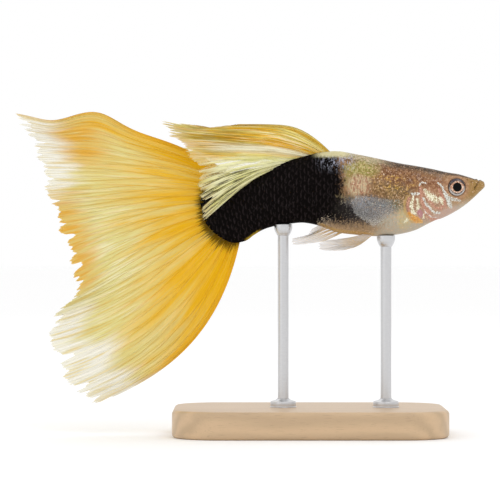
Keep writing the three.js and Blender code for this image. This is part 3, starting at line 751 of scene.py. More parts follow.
def paint_marks(paint, skin):
    """The marks of the cheek and the gill cover, with ragged edges. Returns their shine."""
    ragged = skin.fine * 2.2 + skin.grain * 2.6

    def mark(name, low, high):
        return (paint.finish.mark(name) + ragged).smooth(low, high)

    # Painted shadow: a dark line along the mouth cleft.
    paint.coat(paint.finish.mark("mouth_shadow") * 0.5, (0.05, 0.028, 0.012))
    paint.coat(mark("rim", 0.1, 0.9) * 0.75, (0.6, 0.42, 0.16))
    rose = mark("rose", 0.1, 1.0) * 0.85
    paint.mottle(rose, skin.grain, -0.15, 0.15, (0.5, 0.2, 0.14), (0.7, 0.42, 0.34))
    orange = mark("orange", 0.05, 0.9) * 0.92
    paint.mottle(orange, skin.fine, -0.05, 0.12, (0.82, 0.36, 0.05), (0.97, 0.66, 0.24))
    paint.coat(mark("violet", 0.2, 0.8) * 0.85, (0.52, 0.25, 0.3))
    silver, pearl = mark("silver", 0.45, 1.0), mark("pearl", 0.4, 0.95)
    # The bright speckles that this noise gives the silver and pearl marks are painted glints over the
    # marks' own colour.
    glint_speckle = skin.grain + skin.fine * 0.6
    paint.mottle(silver * 0.85, glint_speckle, -0.1, 0.1, (0.36, 0.4, 0.38), (0.88, 0.93, 0.88))
    paint.mottle(pearl * 0.92, glint_speckle, -0.1, 0.1, (0.5, 0.43, 0.2), (0.98, 0.97, 0.78))
    shine = silver.most(pearl)
    paint.tint(1.0 - shine * 0.6, (0.84, 0.8, 0.76))
    return shine


def paint_black(paint, skin, colours):
    """The rear half, whose ragged front edge runs forward low on the side. Returns how black
    each place is."""
    x, z, fine, grain, upright = skin.x, skin.z, skin.fine, skin.grain, skin.upright
    front = 10.2 - z.smooth(29.0, 30.6, 0.0, 0.5) + z.smooth(25.6, 23.9, 0.0, 2.4)
    ahead = front - x + skin.broad * 1.4
    low_edge = z + x.smooth(8.4, 10.0) * 0.55 + x.smooth(11.5, 13.5) * 0.5
    cut = (low_edge + fine * 2.2 + grain * 2.0).smooth(24.5, 23.1, 0.0, 7.5)
    edge = ahead - cut * x.smooth(5.5, 8.6) + fine * 2.4 + grain * 1.6 + upright * 2.0
    black = edge.smooth(-0.4, 0.7) * (1 - x.smooth(8.5, 10.5) * z.smooth(26.2, 25.0) * 0.2)
    black = black * x.smooth(13.0, 10.2, 0.3, 1.0)
    # A cloud of black specks in front of the edge.
    cloud = ahead.smooth(-3.0, 0.4) * z.smooth(27.4, 25.2) * z.smooth(21.9, 23.9)
    specks = (fine * 1.4 + grain + upright * 1.2 + cloud * 0.42).smooth(0.14, 0.3)
    paint.coat(specks * cloud * 0.9, (0.03, 0.027, 0.03))
    # Slightly lighter black on the scales' rims and in upright streaks: partly painted glints on the
    # rims, partly the wrinkles' own grey-brown.
    rim_glint_and_wrinkle = (skin.scale_rim * 0.5 + upright * 2.0 + fine).smooth(0.1, 0.6)
    dark = paint.finish.blend(rim_glint_and_wrinkle, tuple(colours.black), (0.015, 0.011, 0.011))
    # Upright dashes a little lighter than the black are painted glints.
    flecks = (upright + grain * 0.4).smooth(0.1, 0.2)
    paint.coat(black, paint.finish.blend(flecks * 0.14, dark, (0.07, 0.06, 0.065)))
    # Painted blue-white glints on the scales along the back, and a yellow hem there, before the dorsal
    # fin.
    back_glints = x.smooth(6.6, 9.0) * x.smooth(12.0, 10.6) * (z + (x - 9.0) * 0.1).smooth(28.4, 30.2)
    paint.coat(back_glints * (upright + fine * 0.6).smooth(-0.02, 0.14) * 0.75, (0.42, 0.43, 0.52))
    hem = (z + fine * 0.4).smooth(30.25, 30.75) * x.smooth(6.5, 8.0) * x.smooth(11.5, 10.0)
    paint.coat(hem * 0.9, (0.66, 0.6, 0.34))
    # A thin yellow rim under the stalk.
    under = (skin.share + fine * 0.04).smooth(0.045, 0.015) * x.smooth(1.3, 0.6)
    paint.coat(under * x.smooth(-0.8, -0.2) * 0.6, (0.6, 0.4, 0.03))
    return black


def skin_finish(colours):
    """Brown, gold and silver front, black rear, with scales, freckles and patches of shine."""
    finish = Finish("guppy_skin")
    skin = SkinField(finish)
    paint = Paint(finish, tuple(colours.side))
    paint_side(paint, skin, colours)
    paint_shoulder(paint, skin)
    paint_low_side(paint, skin)
    paint_head(paint, skin)
    shine = paint_marks(paint, skin)
    black = paint_black(paint, skin, colours)
    scales = skin.scale_height * skin.scaled
    relief = scales * 0.6 + skin.fine * 0.3 + skin.grain * 0.3
    front_skin = finish.principled(
        Base_Color=paint.colour, Roughness=0.46 - shine * 0.16, Metallic=shine * 0.25,
        Normal=finish.bump(relief, 0.5, 0.03), Coat_Weight=shine * 0.3, Coat_Roughness=0.15,
        Specular_IOR_Level=0.1)
    wrinkles = skin.upright * 1.5 + skin.fine + scales * 0.5
    black_skin = finish.principled(
        Base_Color=paint.colour, Roughness=0.55, Normal=finish.bump(wrinkles, 0.8, 0.05),
        Specular_IOR_Level=0.02)
    return finish.close(finish.mix(black, front_skin, black_skin))


# Eyes

EYE_RINGS = 40
EYE_SIDES = 96
# The wall behind the dome: radii as shares of the eye's own, and heights.
EYE_WALL = np.array([[0.98, -0.35], [0.8, -0.6]])
# The pupil's radius, as a share of the eye's own.
PUPIL = 0.53


def build_eye(side, name):
    """A domed eyeball on its own axis. Its radius goes with the sine of t and its height with the
    cosine of t to the power 0.9, for t up to 90 degrees, and a wall then runs into the socket."""
    t = np.linspace(0, np.pi / 2, EYE_RINGS)
    radius = np.concatenate([np.sin(t), EYE_WALL[:, 0]])[:, None]
    height = np.concatenate([EYE["dome"] * np.cos(t) ** 0.9, EYE_WALL[:, 1]])[:, None, None]
    turn = np.linspace(0, 2 * np.pi, EYE_SIDES, endpoint=False)[None, :, None]
    lean = math.radians(EYE["forward"])
    outward = np.array([math.sin(lean), side * math.cos(lean), 0.0])
    forward = np.array([math.cos(lean), -side * math.sin(lean), 0.0])
    centre = np.array([EYE["x"], side * float(flank(EYE["x"], EYE["z"]) - EYE["sunk"]), EYE["z"]])
    ring = EYE["radius"] * (np.cos(turn) * forward + np.sin(turn) * np.array([0.0, 0.0, 1.0]))
    rings = centre + radius[1:, :, None] * ring + height[1:] * outward
    ends = centre + height[[0, -1], 0] * outward
    out = np.broadcast_to(radius[1:], rings.shape[:2])
    heights = np.append(rings[..., 2], ends[:, 2])
    marks = {
        "out": np.append(out, [0.0, EYE_WALL[-1, 0]]),
        "level": (heights - EYE["z"]) / EYE["radius"],
    }
    return ringed_mesh(name, rings, ends, marks)


def eye_finish():
    """A black pupil, a copper inner iris and a dark brown ring, silver below and darkest on top."""
    finish = Finish("guppy_eye")
    out, level = finish.mark("out"), finish.mark("level")
    here = finish.vector(*finish.place())
    mottle = finish.noise(here, 4.0, 3.0, 0.6) - 0.5
    flecks = finish.noise(here, 9.0, 2.0, 0.6) - 0.5
    # Near the level of the centre the ring is pushed out, so the copper and its bright flecks reach
    # further at the left and right: painted glints there.
    ring = out + mottle * 0.12 - abs(level).smooth(0.55, 0.1) * 0.12
    paint = Paint(finish, (0.42, 0.19, 0.1))
    paint.coat(flecks.smooth(-0.05, 0.12), (0.9, 0.72, 0.58))
    outer = ring.smooth(0.62, 0.74)
    paint.mottle(outer, mottle + flecks, 0.0, 0.2, (0.05, 0.036, 0.034), (0.38, 0.31, 0.27))
    silvery = out.smooth(0.74, 0.86) * (level + mottle * 0.6).smooth(0.2, -0.5)
    paint.coat(silvery * 0.7, (0.62, 0.6, 0.58))
    shaded = out.smooth(0.7, 0.85) * level.smooth(0.35, 0.75)
    paint.coat(shaded * 0.75, (0.07, 0.06, 0.08))
    paint.coat(out.smooth(0.93, 0.99) * 0.9, (0.12, 0.07, 0.045))
    paint.coat(out.smooth(PUPIL, PUPIL - 0.025), (0.0006, 0.0006, 0.0006))
    metal = out.smooth(PUPIL, PUPIL + 0.03) * out.smooth(0.97, 0.93) * 0.35
    return finish.close(finish.principled(
        Base_Color=paint.colour, Metallic=metal, Roughness=0.35, Coat_Weight=0.12,
        Coat_Roughness=0.03, Specular_IOR_Level=0.05,
        Normal=finish.bump(flecks * out.smooth(0.5, 0.6), 0.25, 0.02)))


# Fins

# A ray's handles are as long as this share of the way from its root to its tip.
HANDLE = 0.38
# Where the rays fork, as shares of their length: the first fork, the step to the next one, and
# how long two branches take to part.
FORK_FIRST, FORK_STEP, FORK_LONG = 0.14, 0.24, 0.36
# How far a sheet runs past its guides, for the frayed edge to be cut from.
EVEN_REACH = [1.04, 1.04]
ROUND_REACH = [0.84, 0.98, 1.04, 1.06, 1.05, 1.0, 0.86]
# The oval end of the stalk that the tail grows from, and the angles, in degrees up from straight
# ahead, of its first ray and its last.
STALK_END = {"x": -2.15, "z": 25.07, "long": 2.95, "high": 3.5}
TAIL_FAN = (86, 292)


def fin_surface(fin, u, v):
    """Points of a fin at u along its rays and v across them. Each ray is a cubic curve with two
    handles, that leaves its root and reaches its tip in the directions that the fin's guides give."""
    u, v = np.broadcast_arrays(u, v)
    guide = along(fin["guides"], v * (len(fin["guides"]) - 1))
    root_x, root_z = fin["root"](v)
    tip_x, tip_z = guide[..., 0], guide[..., 1]
    leave, arrive = np.radians(guide[..., 2]), np.radians(guide[..., 3])
    reach = HANDLE * np.hypot(tip_x - root_x, tip_z - root_z)
    w = 1 - u

    def curve(root, tip, out, end):
        return (w**3 * root + 3 * w * w * u * (root + reach * out)
                + 3 * w * u * u * (tip - reach * end) + u**3 * tip)

    x = curve(root_x, tip_x, np.cos(leave), np.cos(arrive))
    z = curve(root_z, tip_z, np.sin(leave), np.sin(arrive))
    y = fin["spread"](u, v, x, z)
    return np.stack([x, y, z + fin["rise"](u, v)], -1)


def ray_height(u, rays, forks=2):
    """Height of the branching rays, 0 to 1. The distance from the nearest ray is folded at each
    fork, so that one crest becomes two that part as they go out."""
    gap = np.abs(rays % 1.0 - 0.5)
    for k in range(forks):
        fork = FORK_FIRST + FORK_STEP * k
        gap = np.abs(gap - 0.25 / 2**k * smooth(u, fork, fork + FORK_LONG))
    narrow = 0.12 / (1 + 1.6 * u * forks)
    return bell(gap, 1.0, 0.0, narrow)


def margin(fin, v):
    """How far the membrane reaches at each place across it: the fin's own reach, cut back by a
    share of a sum of sine waves, each finer and weaker than the one before."""
    waves = sum(
        np.sin(2 * np.pi * (count * v + fin["seed"] * 0.37 * k)) / (k + 1)
        for k, count in enumerate(fin["teeth"]))
    reach = np.interp(v, np.linspace(0, 1, len(fin["reach"])), fin["reach"])
    return reach * (1 - fin["ragged"] * (0.5 + 0.5 * waves / 1.6))


def build_fin(name, fin, form):
    """A closed thin sheet: the fin's surface moved to both sides by the membrane's half thickness
    and the rays' height, thinner towards the edge."""
    rows, columns = fin["grid"]
    u = np.linspace(0, 1, rows)[:, None]
    v = np.linspace(0, 1, columns)[None, :]
    centre = fin_surface(fin, u * margin(fin, v), v)
    normal = surface_normals(centre)
    normal = normal * np.where(normal[..., 1:2] < 0, -1, 1)
    thick = form.membrane + form.ray_relief * ray_height(u, v * fin["rays"])
    thick = thick * (1 - 0.75 * smooth(u, 0.7, 1.0)) / MM
    root = 1 + fin["root_swell"] * (1 - smooth(u, 0.0, 0.16))
    thick = (thick * root)[..., None]
    faces = np.stack([centre + normal * thick, centre - normal * thick])
    count = rows * columns
    one = grid_quads(rows, columns)
    number = np.arange(count).reshape(rows, columns)
    rim = np.concatenate([number[0], number[1:, -1], number[-1, -2::-1], number[-2:0:-1, 0]])
    after = np.roll(rim, -1)
    edge = np.stack([after, rim, rim + count, after + count], 1)
    uv = np.stack(np.broadcast_arrays(u, v), -1).reshape(-1, 2)
    quads = np.concatenate([one, one[:, ::-1] + count, edge])
    return mesh_object(name, faces, quads, uv=np.concatenate([uv, uv]))


def between(a, b, t):
    """The number that is the share t of the way from a to b."""
    return a + (b - a) * t


def flat(u, v):
    """No rise at all."""
    return 0.0 * u


def straight_root(x_from, x_to, z_from, z_to):
    """A root along a straight line, from a fin's first ray to its last."""
    return lambda v: (between(x_from, x_to, v), between(z_from, z_to, v))


def tail_root(v):
    """Points of an oval arc round the end of the stalk."""
    turn = np.radians(between(*TAIL_FAN, v))
    x = STALK_END["x"] + STALK_END["long"] * np.cos(turn)
    return x, STALK_END["z"] + STALK_END["high"] * np.sin(turn)


def tail_rise(u, v):
    """A hump and then a dip in the upper edge, each a bell curve that fades below the edge, and a
    bulge of half a sine wave down along the lower edge."""
    near_top = 1 - smooth(v, 0.0, 0.2)
    bulge = 0.7 * smooth(v, 0.78, 1.0) * np.sin(np.pi * np.minimum(u, 1.0))
    return near_top * (bell(u, 1.35, 0.66, 0.13) - bell(u, 0.35, 0.87, 0.08)) - bulge


def tail_spread(u, v, x, z):
    """Left and right: a long bow that goes with the way out and its square, and folds, by sine
    waves across the fin, that deepen to the edge with the way out to the power 1.4."""
    folds = 0.85 * wave(2.1 * v + 0.3 * u, 0.6) + 0.35 * wave(5.3 * v, 2)
    fine = 0.05 * wave(17 * v, 1) + 0.04 * wave(29 * v, 3 * u)
    return sway(-5.0) + 0.9 * u - 2.4 * u * u + (folds + fine) * u**1.4


# A fin's guides are its rays' tips, from one edge to the other: X, Z, and the directions in
# degrees in which a ray leaves its root and reaches its tip.
TAIL = {
    "rays": 18, "grid": (112, 430), "ragged": 0.035, "seed": 3, "teeth": (9, 23, 47, 83),
    "guides": [
        [-25.6, 35.3, 146, 172], [-24.9, 33.3, 156, 176], [-23.6, 30.4, 163, 178],
        [-22.3, 26.6, 174, 184], [-20.9, 23.1, 183, 191], [-19.5, 19.3, 193, 204],
        [-19.3, 15.3, 205, 209], [-22.6, 12.2, 217, 193], [-22.0, 8.1, 232, 196],
        [-19.2, 4.6, 245, 203], [-15.2, 4.1, 258, 209],
    ],
    "reach": [1.06, 1.015, 1.01, 1.03, 1.04, 1.045, 1.035, 1.0, 1.0, 1.03, 1.09],
    "root": tail_root, "rise": tail_rise, "spread": tail_spread, "root_swell": 2.5,
}


def dorsal_rise(u, v):
    """A swell near the root and a dip near the tip of the upper edge, each a bell curve."""
    near_top = 1 - smooth(v, 0.0, 0.25)
    return near_top * (bell(u, 0.38, 0.28, 0.2) - bell(u, 0.45, 0.84, 0.09))


def dorsal_spread(u, v, x, z):
    """Left and right: upright at the front, and folded over the right side towards the rear, by
    an S-shaped step across the fin times one out along it. The pleats are a sine wave."""
    fold = between(0.3, 1.75, smooth(v, 0.0, 0.85)) * smooth(u, 0.0, 0.45)
    pleats = 0.28 * wave(3.2 * v, 0.8) * u * (1 - 0.6 * v)
    return sway(np.maximum(x, -6)) * (1 - u) - fold + pleats


DORSAL = {
    "rays": 9, "grid": (120, 300), "ragged": 0.05, "seed": 11, "teeth": (5, 13, 29, 61),
    "guides": [
        [-6.21, 34.03, 136, 179], [-9.07, 34.25, 146, 168], [-8.96, 33.32, 156, 170],
        [-8.09, 32.16, 166, 176], [-7.09, 30.62, 176, 182], [-6.11, 27.98, 186, 200],
        [-5.78, 25.23, 192, 215], [-5.22, 23.36, 195, 221],
    ],
    "reach": [1.07, 1.07, 1.05, 1.03, 1.01, 1.02, 1.03],
    "root": straight_root(8.86, 4.9, 30.95, 30.0), "rise": dorsal_rise, "spread": dorsal_spread,
    "root_swell": 1.2,
}


def anal_spread(u, v, x, z):
    """On the midline, with a slight sine wave that grows along each ray."""
    return sway(x) + 0.15 * np.sin(5 * u + 3 * v) * u


ANAL = {
    "rays": 7, "grid": (70, 120), "ragged": 0.06, "seed": 5, "teeth": (3, 7, 17, 31),
    "guides": [
        [7.0, 21.0, 200, 190], [4.75, 20.83, 194, 188], [4.6, 21.44, 188, 184],
        [6.1, 21.95, 182, 178], [6.3, 22.6, 176, 172],
    ],
    "reach": ROUND_REACH, "root": straight_root(10.9, 8.9, 22.45, 23.6), "rise": flat,
    "spread": anal_spread, "root_swell": 0.0,
}


def pelvic_fin(side):
    """One of the paired fins under the belly, spread outwards by the distance along its rays."""
    guides = {
        -1: [[9.2, 20.1, 222, 186], [7.6, 20.42, 213, 182], [7.3, 21.3, 202, 184]],
        1: [[10.5, 20.3, 224, 190], [9.6, 20.6, 216, 188], [8.9, 21.4, 204, 188]],
    }
    return {
        "rays": 7, "grid": (60, 90), "ragged": 0.05, "seed": 7 + side, "teeth": (2, 7, 13, 29),
        "guides": guides[side], "reach": ROUND_REACH,
        "root": straight_root(13.65, 12.75, 22.15, 22.2), "rise": flat,
        "spread": lambda u, v, x, z: side * (0.62 + 0.75 * u - 0.2 * v * u), "root_swell": 0.0,
    }


def pectoral_fin(side):
    """One of the clear fins behind the gill covers. It stands off the side by one minus the fourth
    power of the way that is left of its rays, so it leaves steeply and then lies back."""
    return {
        "rays": 9, "grid": (60, 130), "ragged": 0.05, "seed": 9 + side, "teeth": (3, 9, 19, 37),
        "guides": [[11.17, 26.22, 177, 180], [10.84, 25.23, 183, 184], [11.61, 23.91, 195, 194],
                   [13.37, 22.81, 212, 208]],
        "reach": EVEN_REACH, "root": straight_root(16.0, 16.0, 25.75, 24.85), "rise": flat,
        "spread": lambda u, v, x, z: side * (
            flank(x, np.maximum(z, 23.6)) + between(-0.7, 1.2, 1 - (1 - u) ** 4)),
        "root_swell": 0.0,
    }


class FinField:
    """What a fin's colours are worked out from: u along its rays and v across them, the drawn
    rays from 0 to 1, and noises from -0.5 to 0.5 that are drawn out along the rays."""

    def __init__(self, finish, rays, forks, wide=0.11):
        self.finish = finish
        self.rays = rays
        self.u, self.v = finish.flat_place()
        self.lines = self.ray_pattern(forks, wide)

    def ray_pattern(self, forks, wide):
        """The branching rays, forked as in ray_height. Each starts as wide as the given share of
        the gap between two rays, and thins out as it branches."""
        u = self.u
        gap = abs((self.v * self.rays).fraction() - 0.5)
        for k in range(forks):
            fork = FORK_FIRST + FORK_STEP * k
            gap = abs(gap - u.smooth(fork, fork + FORK_LONG, 0.0, 0.25 / 2**k))
        return gap.smooth(u.smooth(0.0, 0.9, wide, wide / 2**forks), 0.0)

    def threads(self, across, out, layer, detail=3.0, roughness=0.6):
        """Noise with so many threads across the fin and so many waves out along it."""
        place = self.finish.vector(self.v * across, self.u * out, layer)
        return self.finish.noise(place, 1.0, detail, roughness) - 0.5

    def fringe(self, depth):
        """1 inside the fin and 0 beyond its frayed edge. Slits run in between some of the rays,
        and fine teeth stand between the slits."""
        finish = self.finish
        slit = finish.noise(finish.vector(self.v * self.rays * 2.6, 0.0, 3.0), 1.0, 1.0)
        teeth = finish.noise(finish.vector(self.v * self.rays * 14.0, 0.0, 7.0), 1.0, 1.0)
        cut = (slit.smooth(0.46, 0.72) * 1.5 + teeth * 0.8) * depth
        return (1 - self.u - cut).smooth(-0.004, 0.004)


def sheer_material(finish, colour, alpha, glow, rough, normal, glow_tints, whiteness):
    """A membrane: part gloss, part light let through it, and clear by one minus alpha."""
    skin = finish.principled(Base_Color=colour, Roughness=rough, Normal=normal, Specular_IOR_Level=0.08)
    warm, white = (
        finish.node("ShaderNodeBsdfTranslucent", None, {"Color": tint}).outputs[0] for tint in glow_tints)
    body = finish.mix(glow, skin, finish.mix(whiteness, warm, white))
    clear = finish.node("ShaderNodeBsdfTransparent").outputs[0]
    return finish.close(finish.mix(alpha, clear, body))


def tail_finish(colours):
    """Gold near the root and edges, lemon between, white at the corners, with fine rays."""
    finish = Finish("tail_membrane")
    fin = FinField(finish, TAIL["rays"], 3)
    u, v, lines = fin.u, fin.v, fin.lines
    wide = fin.threads(15.0, 1.2, 0.0)
    thin = fin.threads(75.0, 2.0, 5.0, roughness=0.65)
    hair = fin.threads(190.0, 3.0, 9.0, detail=2.0)
    threads = thin + hair
    edges = v.smooth(0.2, 0.02) * 0.4 + v.smooth(0.8, 0.97) * 0.45
    gold = u.smooth(1.0, 0.0) * 1.25 + edges + v.smooth(0.62, 0.8) * 0.1
    golden = (gold + wide * 2.4 + threads * 1.9).smooth(0.25, 1.5)
    paint = Paint(finish, tuple(colours.pale))
    paint.coat(golden, tuple(colours.gold))
    # Pale streaks along the rays are painted highlights.
    paint.coat(threads.smooth(0.0, 0.14) * (1 - golden * 0.9) * 0.8, (0.96, 0.93, 0.7))
    # Darker orange streaks between them are partly the fin's own orange and partly painted shade.
    low = threads.smooth(-0.04, -0.16)
    paint.coat(low * golden.smooth(0.0, 1.0, 0.5, 0.75), (0.78, 0.44, 0.012))
    drawn = lines.smooth(0.25, 0.8) * u.smooth(1.05, 0.45) * v.smooth(0.45, 0.8, 0.62, 0.34)
    paint.coat(drawn, (0.76, 0.41, 0.012))
    # Orange streaks in the upper lobe, on the hollow edge and along both sides.
    flame = abs(v - 0.13).smooth(0.15, 0.03) * abs(u - 0.8).smooth(0.3, 0.07)
    hollow = abs(v - 0.44 + wide * 0.05).smooth(0.2, 0.12) * (u + thin * 0.4).smooth(0.76, 0.95)
    lip = (v + thin * 0.06).smooth(0.05, 0.0).most(v.smooth(0.95, 1.0) * 0.8)
    streaked = (threads + wide * 0.3).smooth(-0.12, 0.08, 0.35, 1.0)
    paint.coat(flame.most(hollow).most(lip) * streaked, (0.82, 0.42, 0.015))
    # Clear white membrane at both corners, with the rays' coloured ends in it.
    corners = v.smooth(0.36, 0.27).most(v.smooth(0.62, 0.72))
    corners = corners * v.smooth(0.0, 0.05, 0.4, 1.0)
    pale = corners * (u + wide * 0.6 + v.smooth(0.6, 0.9) * 0.08).smooth(0.76, 0.92)
    pale = pale * threads.smooth(-0.16, 0.0, 0.4, 1.0)
    paint.coat(pale * 0.95, (0.91, 0.9, 0.92))
    # Black pigment of the body reaches over the root in fine streaks.
    paint.coat((u + thin * 0.16 + hair * 0.12).smooth(0.052, 0.03), (0.004, 0.003, 0.003))
    alpha = fin.fringe(0.05) * (pale * (1 - lines)).smooth(0.2, 1.0, 0.98, 0.66)
    normal = finish.bump(lines * 0.5 + hair * 1.6 + thin, 0.9, 0.06)
    tints = ((0.95, 0.68, 0.015), (0.93, 0.89, 0.6))
    whiteness = (1 - golden).most(pale)
    return sheer_material(finish, paint.colour, alpha, 0.36, 0.55, normal, tints, whiteness)


def dorsal_finish():
    """Yellow with painted highlights and shadows streaked along and between the rays, a white band that
    is a painted fold highlight, a green-yellow veil and clear tips.
    """
    finish = Finish("dorsal_membrane")
    fin = FinField(finish, DORSAL["rays"], 3)
    u, v, lines = fin.u, fin.v, fin.lines
    wide = fin.threads(15.0, 1.5, 2.0)
    thin = fin.threads(42.0, 2.2, 4.0, roughness=0.65)
    hair = fin.threads(110.0, 3.0, 8.0, detail=2.0)
    threads = thin + hair * 0.8
    front = v.smooth(0.62, 0.5)
    golden = (wide + thin * 0.6).smooth(-0.1, 0.08)
    paint = Paint(finish, (0.86, 0.72, 0.16))
    paint.coat(golden, (0.86, 0.5, 0.02))
    # Pale cream streaks along the rays are painted highlights.
    paint.coat(threads.smooth(0.02, 0.11) * 0.9, (0.97, 0.93, 0.62))
    # Dark brown streaks between the rays at the front are painted shadows.
    paint.coat(threads.smooth(-0.01, -0.08) * front * 0.75, (0.34, 0.2, 0.012))
    paint.coat((v + hair * 0.04).smooth(0.03, 0.0) * 0.7, (0.4, 0.24, 0.03))
    paint.coat(lines.smooth(0.25, 0.8) * front * 0.6, (0.66, 0.36, 0.01))
    # A white band along the fin at mid-height: a painted highlight on a fold.
    fold_highlight = abs(v - 0.47 + thin * 0.08).smooth(0.1, 0.03) * u.smooth(0.95, 0.65) * 0.9
    paint.coat(fold_highlight * threads.smooth(-0.14, 0.0, 0.4, 1.0), (0.97, 0.95, 0.78))
    veil = v.smooth(0.55, 0.66)
    paint.mottle(veil * 0.9, wide + thin, -0.12, 0.1, (0.78, 0.76, 0.3), (0.94, 0.94, 0.62))
    tips = (u + wide * 0.3).smooth(0.82, 0.97)
    paint.mottle(tips * 0.55, hair, -0.05, 0.08, (0.92, 0.86, 0.66), (0.68, 0.48, 0.1))
    gaps = veil * threads.smooth(0.02, -0.08) * u.smooth(0.05, 0.3)
    alpha = fin.fringe(0.075) * (1 - gaps * 0.85) * (1 - tips * 0.3)
    normal = finish.bump(lines * 0.5 + thin + hair * 1.2, 0.9, 0.06)
    tints = ((0.95, 0.66, 0.05), (0.93, 0.9, 0.66))
    whiteness = (1 - golden).most(fold_highlight).most(veil)
    return sheer_material(finish, paint.colour, alpha, 0.34, 0.5, normal, tints, whiteness)


# The clear fins' looks: how many rays, how often they fork and how wide they are, the colours of
# the membrane and of the rays, and how much of the light each of the two stops.
LOWER_LOOK = {
    "rays": 7, "forks": 1, "wide": 0.3, "tint": (0.95, 0.96, 1.0), "ray_tint": (0.66, 0.38, 0.0),
    "body": 0.55, "on_rays": 0.97,
}
PECTORAL_LOOK = {
    "rays": 9, "forks": 2, "wide": 0.13, "tint": (0.72, 0.72, 0.7), "ray_tint": (0.14, 0.12, 0.1),
    "body": 0.13, "on_rays": 0.5,
}


def clear_fin_finish(name, look):
    """A clear membrane with fine coloured rays."""
    finish = Finish(name)
    fin = FinField(finish, look["rays"], look["forks"], look["wide"])
    u, v, lines = fin.u, fin.v, fin.lines
    thin = fin.threads(40.0, 2.5, 1.0)
    paint = Paint(finish, look["tint"])
    paint.coat(lines * u.smooth(1.0, 0.3, 0.6, 1.0), look["ray_tint"])
    paint.coat(thin.smooth(-0.04, -0.16) * 0.5, tuple(0.74 * part for part in look["tint"]))
    paint.coat(v.smooth(0.1, 0.0) * 0.8, look["ray_tint"])
    alpha = fin.fringe(0.06) * between(look["body"], look["on_rays"], lines)
    normal = finish.bump(lines + thin * 0.4, 0.5, 0.04)
    tints = ((0.92, 0.9, 0.86), (0.94, 0.95, 1.0))
    return sheer_material(finish, paint.colour, alpha, 0.3, 0.42, normal, tints, 0.6)


# Stand

# Sizes of the base in millimetres. Its top and bottom are flat inside a ring this far in.
BASE = {"x": 6.5, "long": 30.0, "wide": 20.0, "thick": 3.0, "corner": 5.0, "bevel": 0.45, "ring": 3.5}
BASE_SIDES, BEVEL_STEPS = 160, 7
# The rods' nodes, and where they stand along X.
RODS = [("stand_rod_front", 14.9), ("stand_rod_rear", 3.6)]
ROD_RADIUS = 0.6
ROD_SIDES, ROD_STEPS = 48, 120
# Radii of a rod's foot at heights over the base, and of its cup at heights from the belly's keel.
ROD_FOOT = [[0.0, 0.0], [1.38, 0.0], [1.4, 0.1], [1.4, 0.5], [1.32, 0.66], [0.9, 0.78], [0.68, 0.95],
            [ROD_RADIUS, 1.3]]
ROD_CUP = [[ROD_RADIUS, -1.5], [0.66, -1.2], [0.85, -0.85], [0.98, -0.5], [1.0, -0.1], [0.9, 0.05],
           [0.0, 0.1]]


def build_base():
    """A rounded slab. Its outline is a rounded rectangle drawn in by an inset, and its edge is a
    small quarter circle above and below."""
    turn = np.linspace(0, 2 * np.pi, BASE_SIDES, endpoint=False)
    sweep = np.linspace(0, np.pi / 2, BEVEL_STEPS)
    down, out = BASE["bevel"] * (1 - np.sin(sweep)), BASE["bevel"] * (1 - np.cos(sweep))
    inset = np.concatenate([[BASE["ring"]], down, out, [BASE["ring"]]])[:, None]
    level = np.concatenate([[0.0], out, BASE["thick"] - down, [BASE["thick"]]])[:, None]
    radius = BASE["corner"] - inset
    x = BASE["x"] + np.sign(np.cos(turn)) * (BASE["long"] / 2 - BASE["corner"]) + radius * np.cos(turn)
    y = np.sign(np.sin(turn)) * (BASE["wide"] / 2 - BASE["corner"]) + radius * np.sin(turn)
    rings = np.stack(np.broadcast_arrays(x, y, level), -1)
    return ringed_mesh("base_slab", rings, [[BASE["x"], 0, 0], [BASE["x"], 0, BASE["thick"]]])


def build_rod(name, x):
    """A turned rod: radii and heights of its profile carried round an upright axis."""
    ribs = along(RIBS, np.linspace(0, LAST_RIB, 2000))
    belly = ribs[np.argmin(np.abs(ribs[:, 2] - x)), 3]
    profile = np.array(
        [[radius, BASE["thick"] + over] for radius, over in ROD_FOOT]
        + [[radius, belly + over] for radius, over in ROD_CUP])
    radius, level = along(profile, np.linspace(0, len(profile) - 1, ROD_STEPS)).T[..., None]
    turn = np.linspace(0, 2 * np.pi, ROD_SIDES, endpoint=False)
    radius = np.maximum(radius, 0)
    rings = np.stack(np.broadcast_arrays(
        x + radius * np.cos(turn), sway(x) + radius * np.sin(turn), level), -1)
    ends = [[x, sway(x), level[0, 0]], [x, sway(x), level[-1, 0]]]
    return ringed_mesh(name, rings[1:-1], ends)


def wood_finish(colours):
    """Fine straight grain along the base, with pores and a satin coat."""
    finish = Finish("base_wood")
    x, y, z = finish.place()
    warp = finish.noise(finish.vector(x * 0.05, y * 0.3, z * 0.3), 1.0, 3.0)
    rings = ((y * 1.6 + z * 0.9 + warp * 5.0) * 2.2).sine() * 0.5 + 0.5
    pores = finish.noise(finish.vector(x * 0.8, y * 14.0, z * 14.0), 1.0, 2.0, 0.6)
    paint = Paint(finish, tuple(colours.wood))
    paint.coat(rings * 0.5, tuple(0.66 * part for part in colours.wood))
    paint.coat(pores.smooth(0.58, 0.74) * 0.5, tuple(0.42 * part for part in colours.wood))
    return finish.close(finish.principled(
        Base_Color=paint.colour, Roughness=0.42 + pores * 0.12, Normal=finish.bump(pores, 0.25, 0.05),
        Coat_Weight=0.25, Coat_Roughness=0.25))


def steel_finish():
    """Steel brushed round its axis."""
    finish = Finish("rod_steel")
    x, y, z = finish.place()
    lines = finish.noise(finish.vector(x * 2.0, y * 2.0, z * 30.0), 1.0, 3.0, 0.6)
    colour = finish.blend(lines, (0.5, 0.5, 0.51), (0.68, 0.68, 0.69))
    return finish.close(finish.principled(
        Base_Color=colour, Metallic=1.0, Roughness=0.24 + lines * 0.14,
        Normal=finish.bump(lines, 0.12, 0.02)))


# Stage

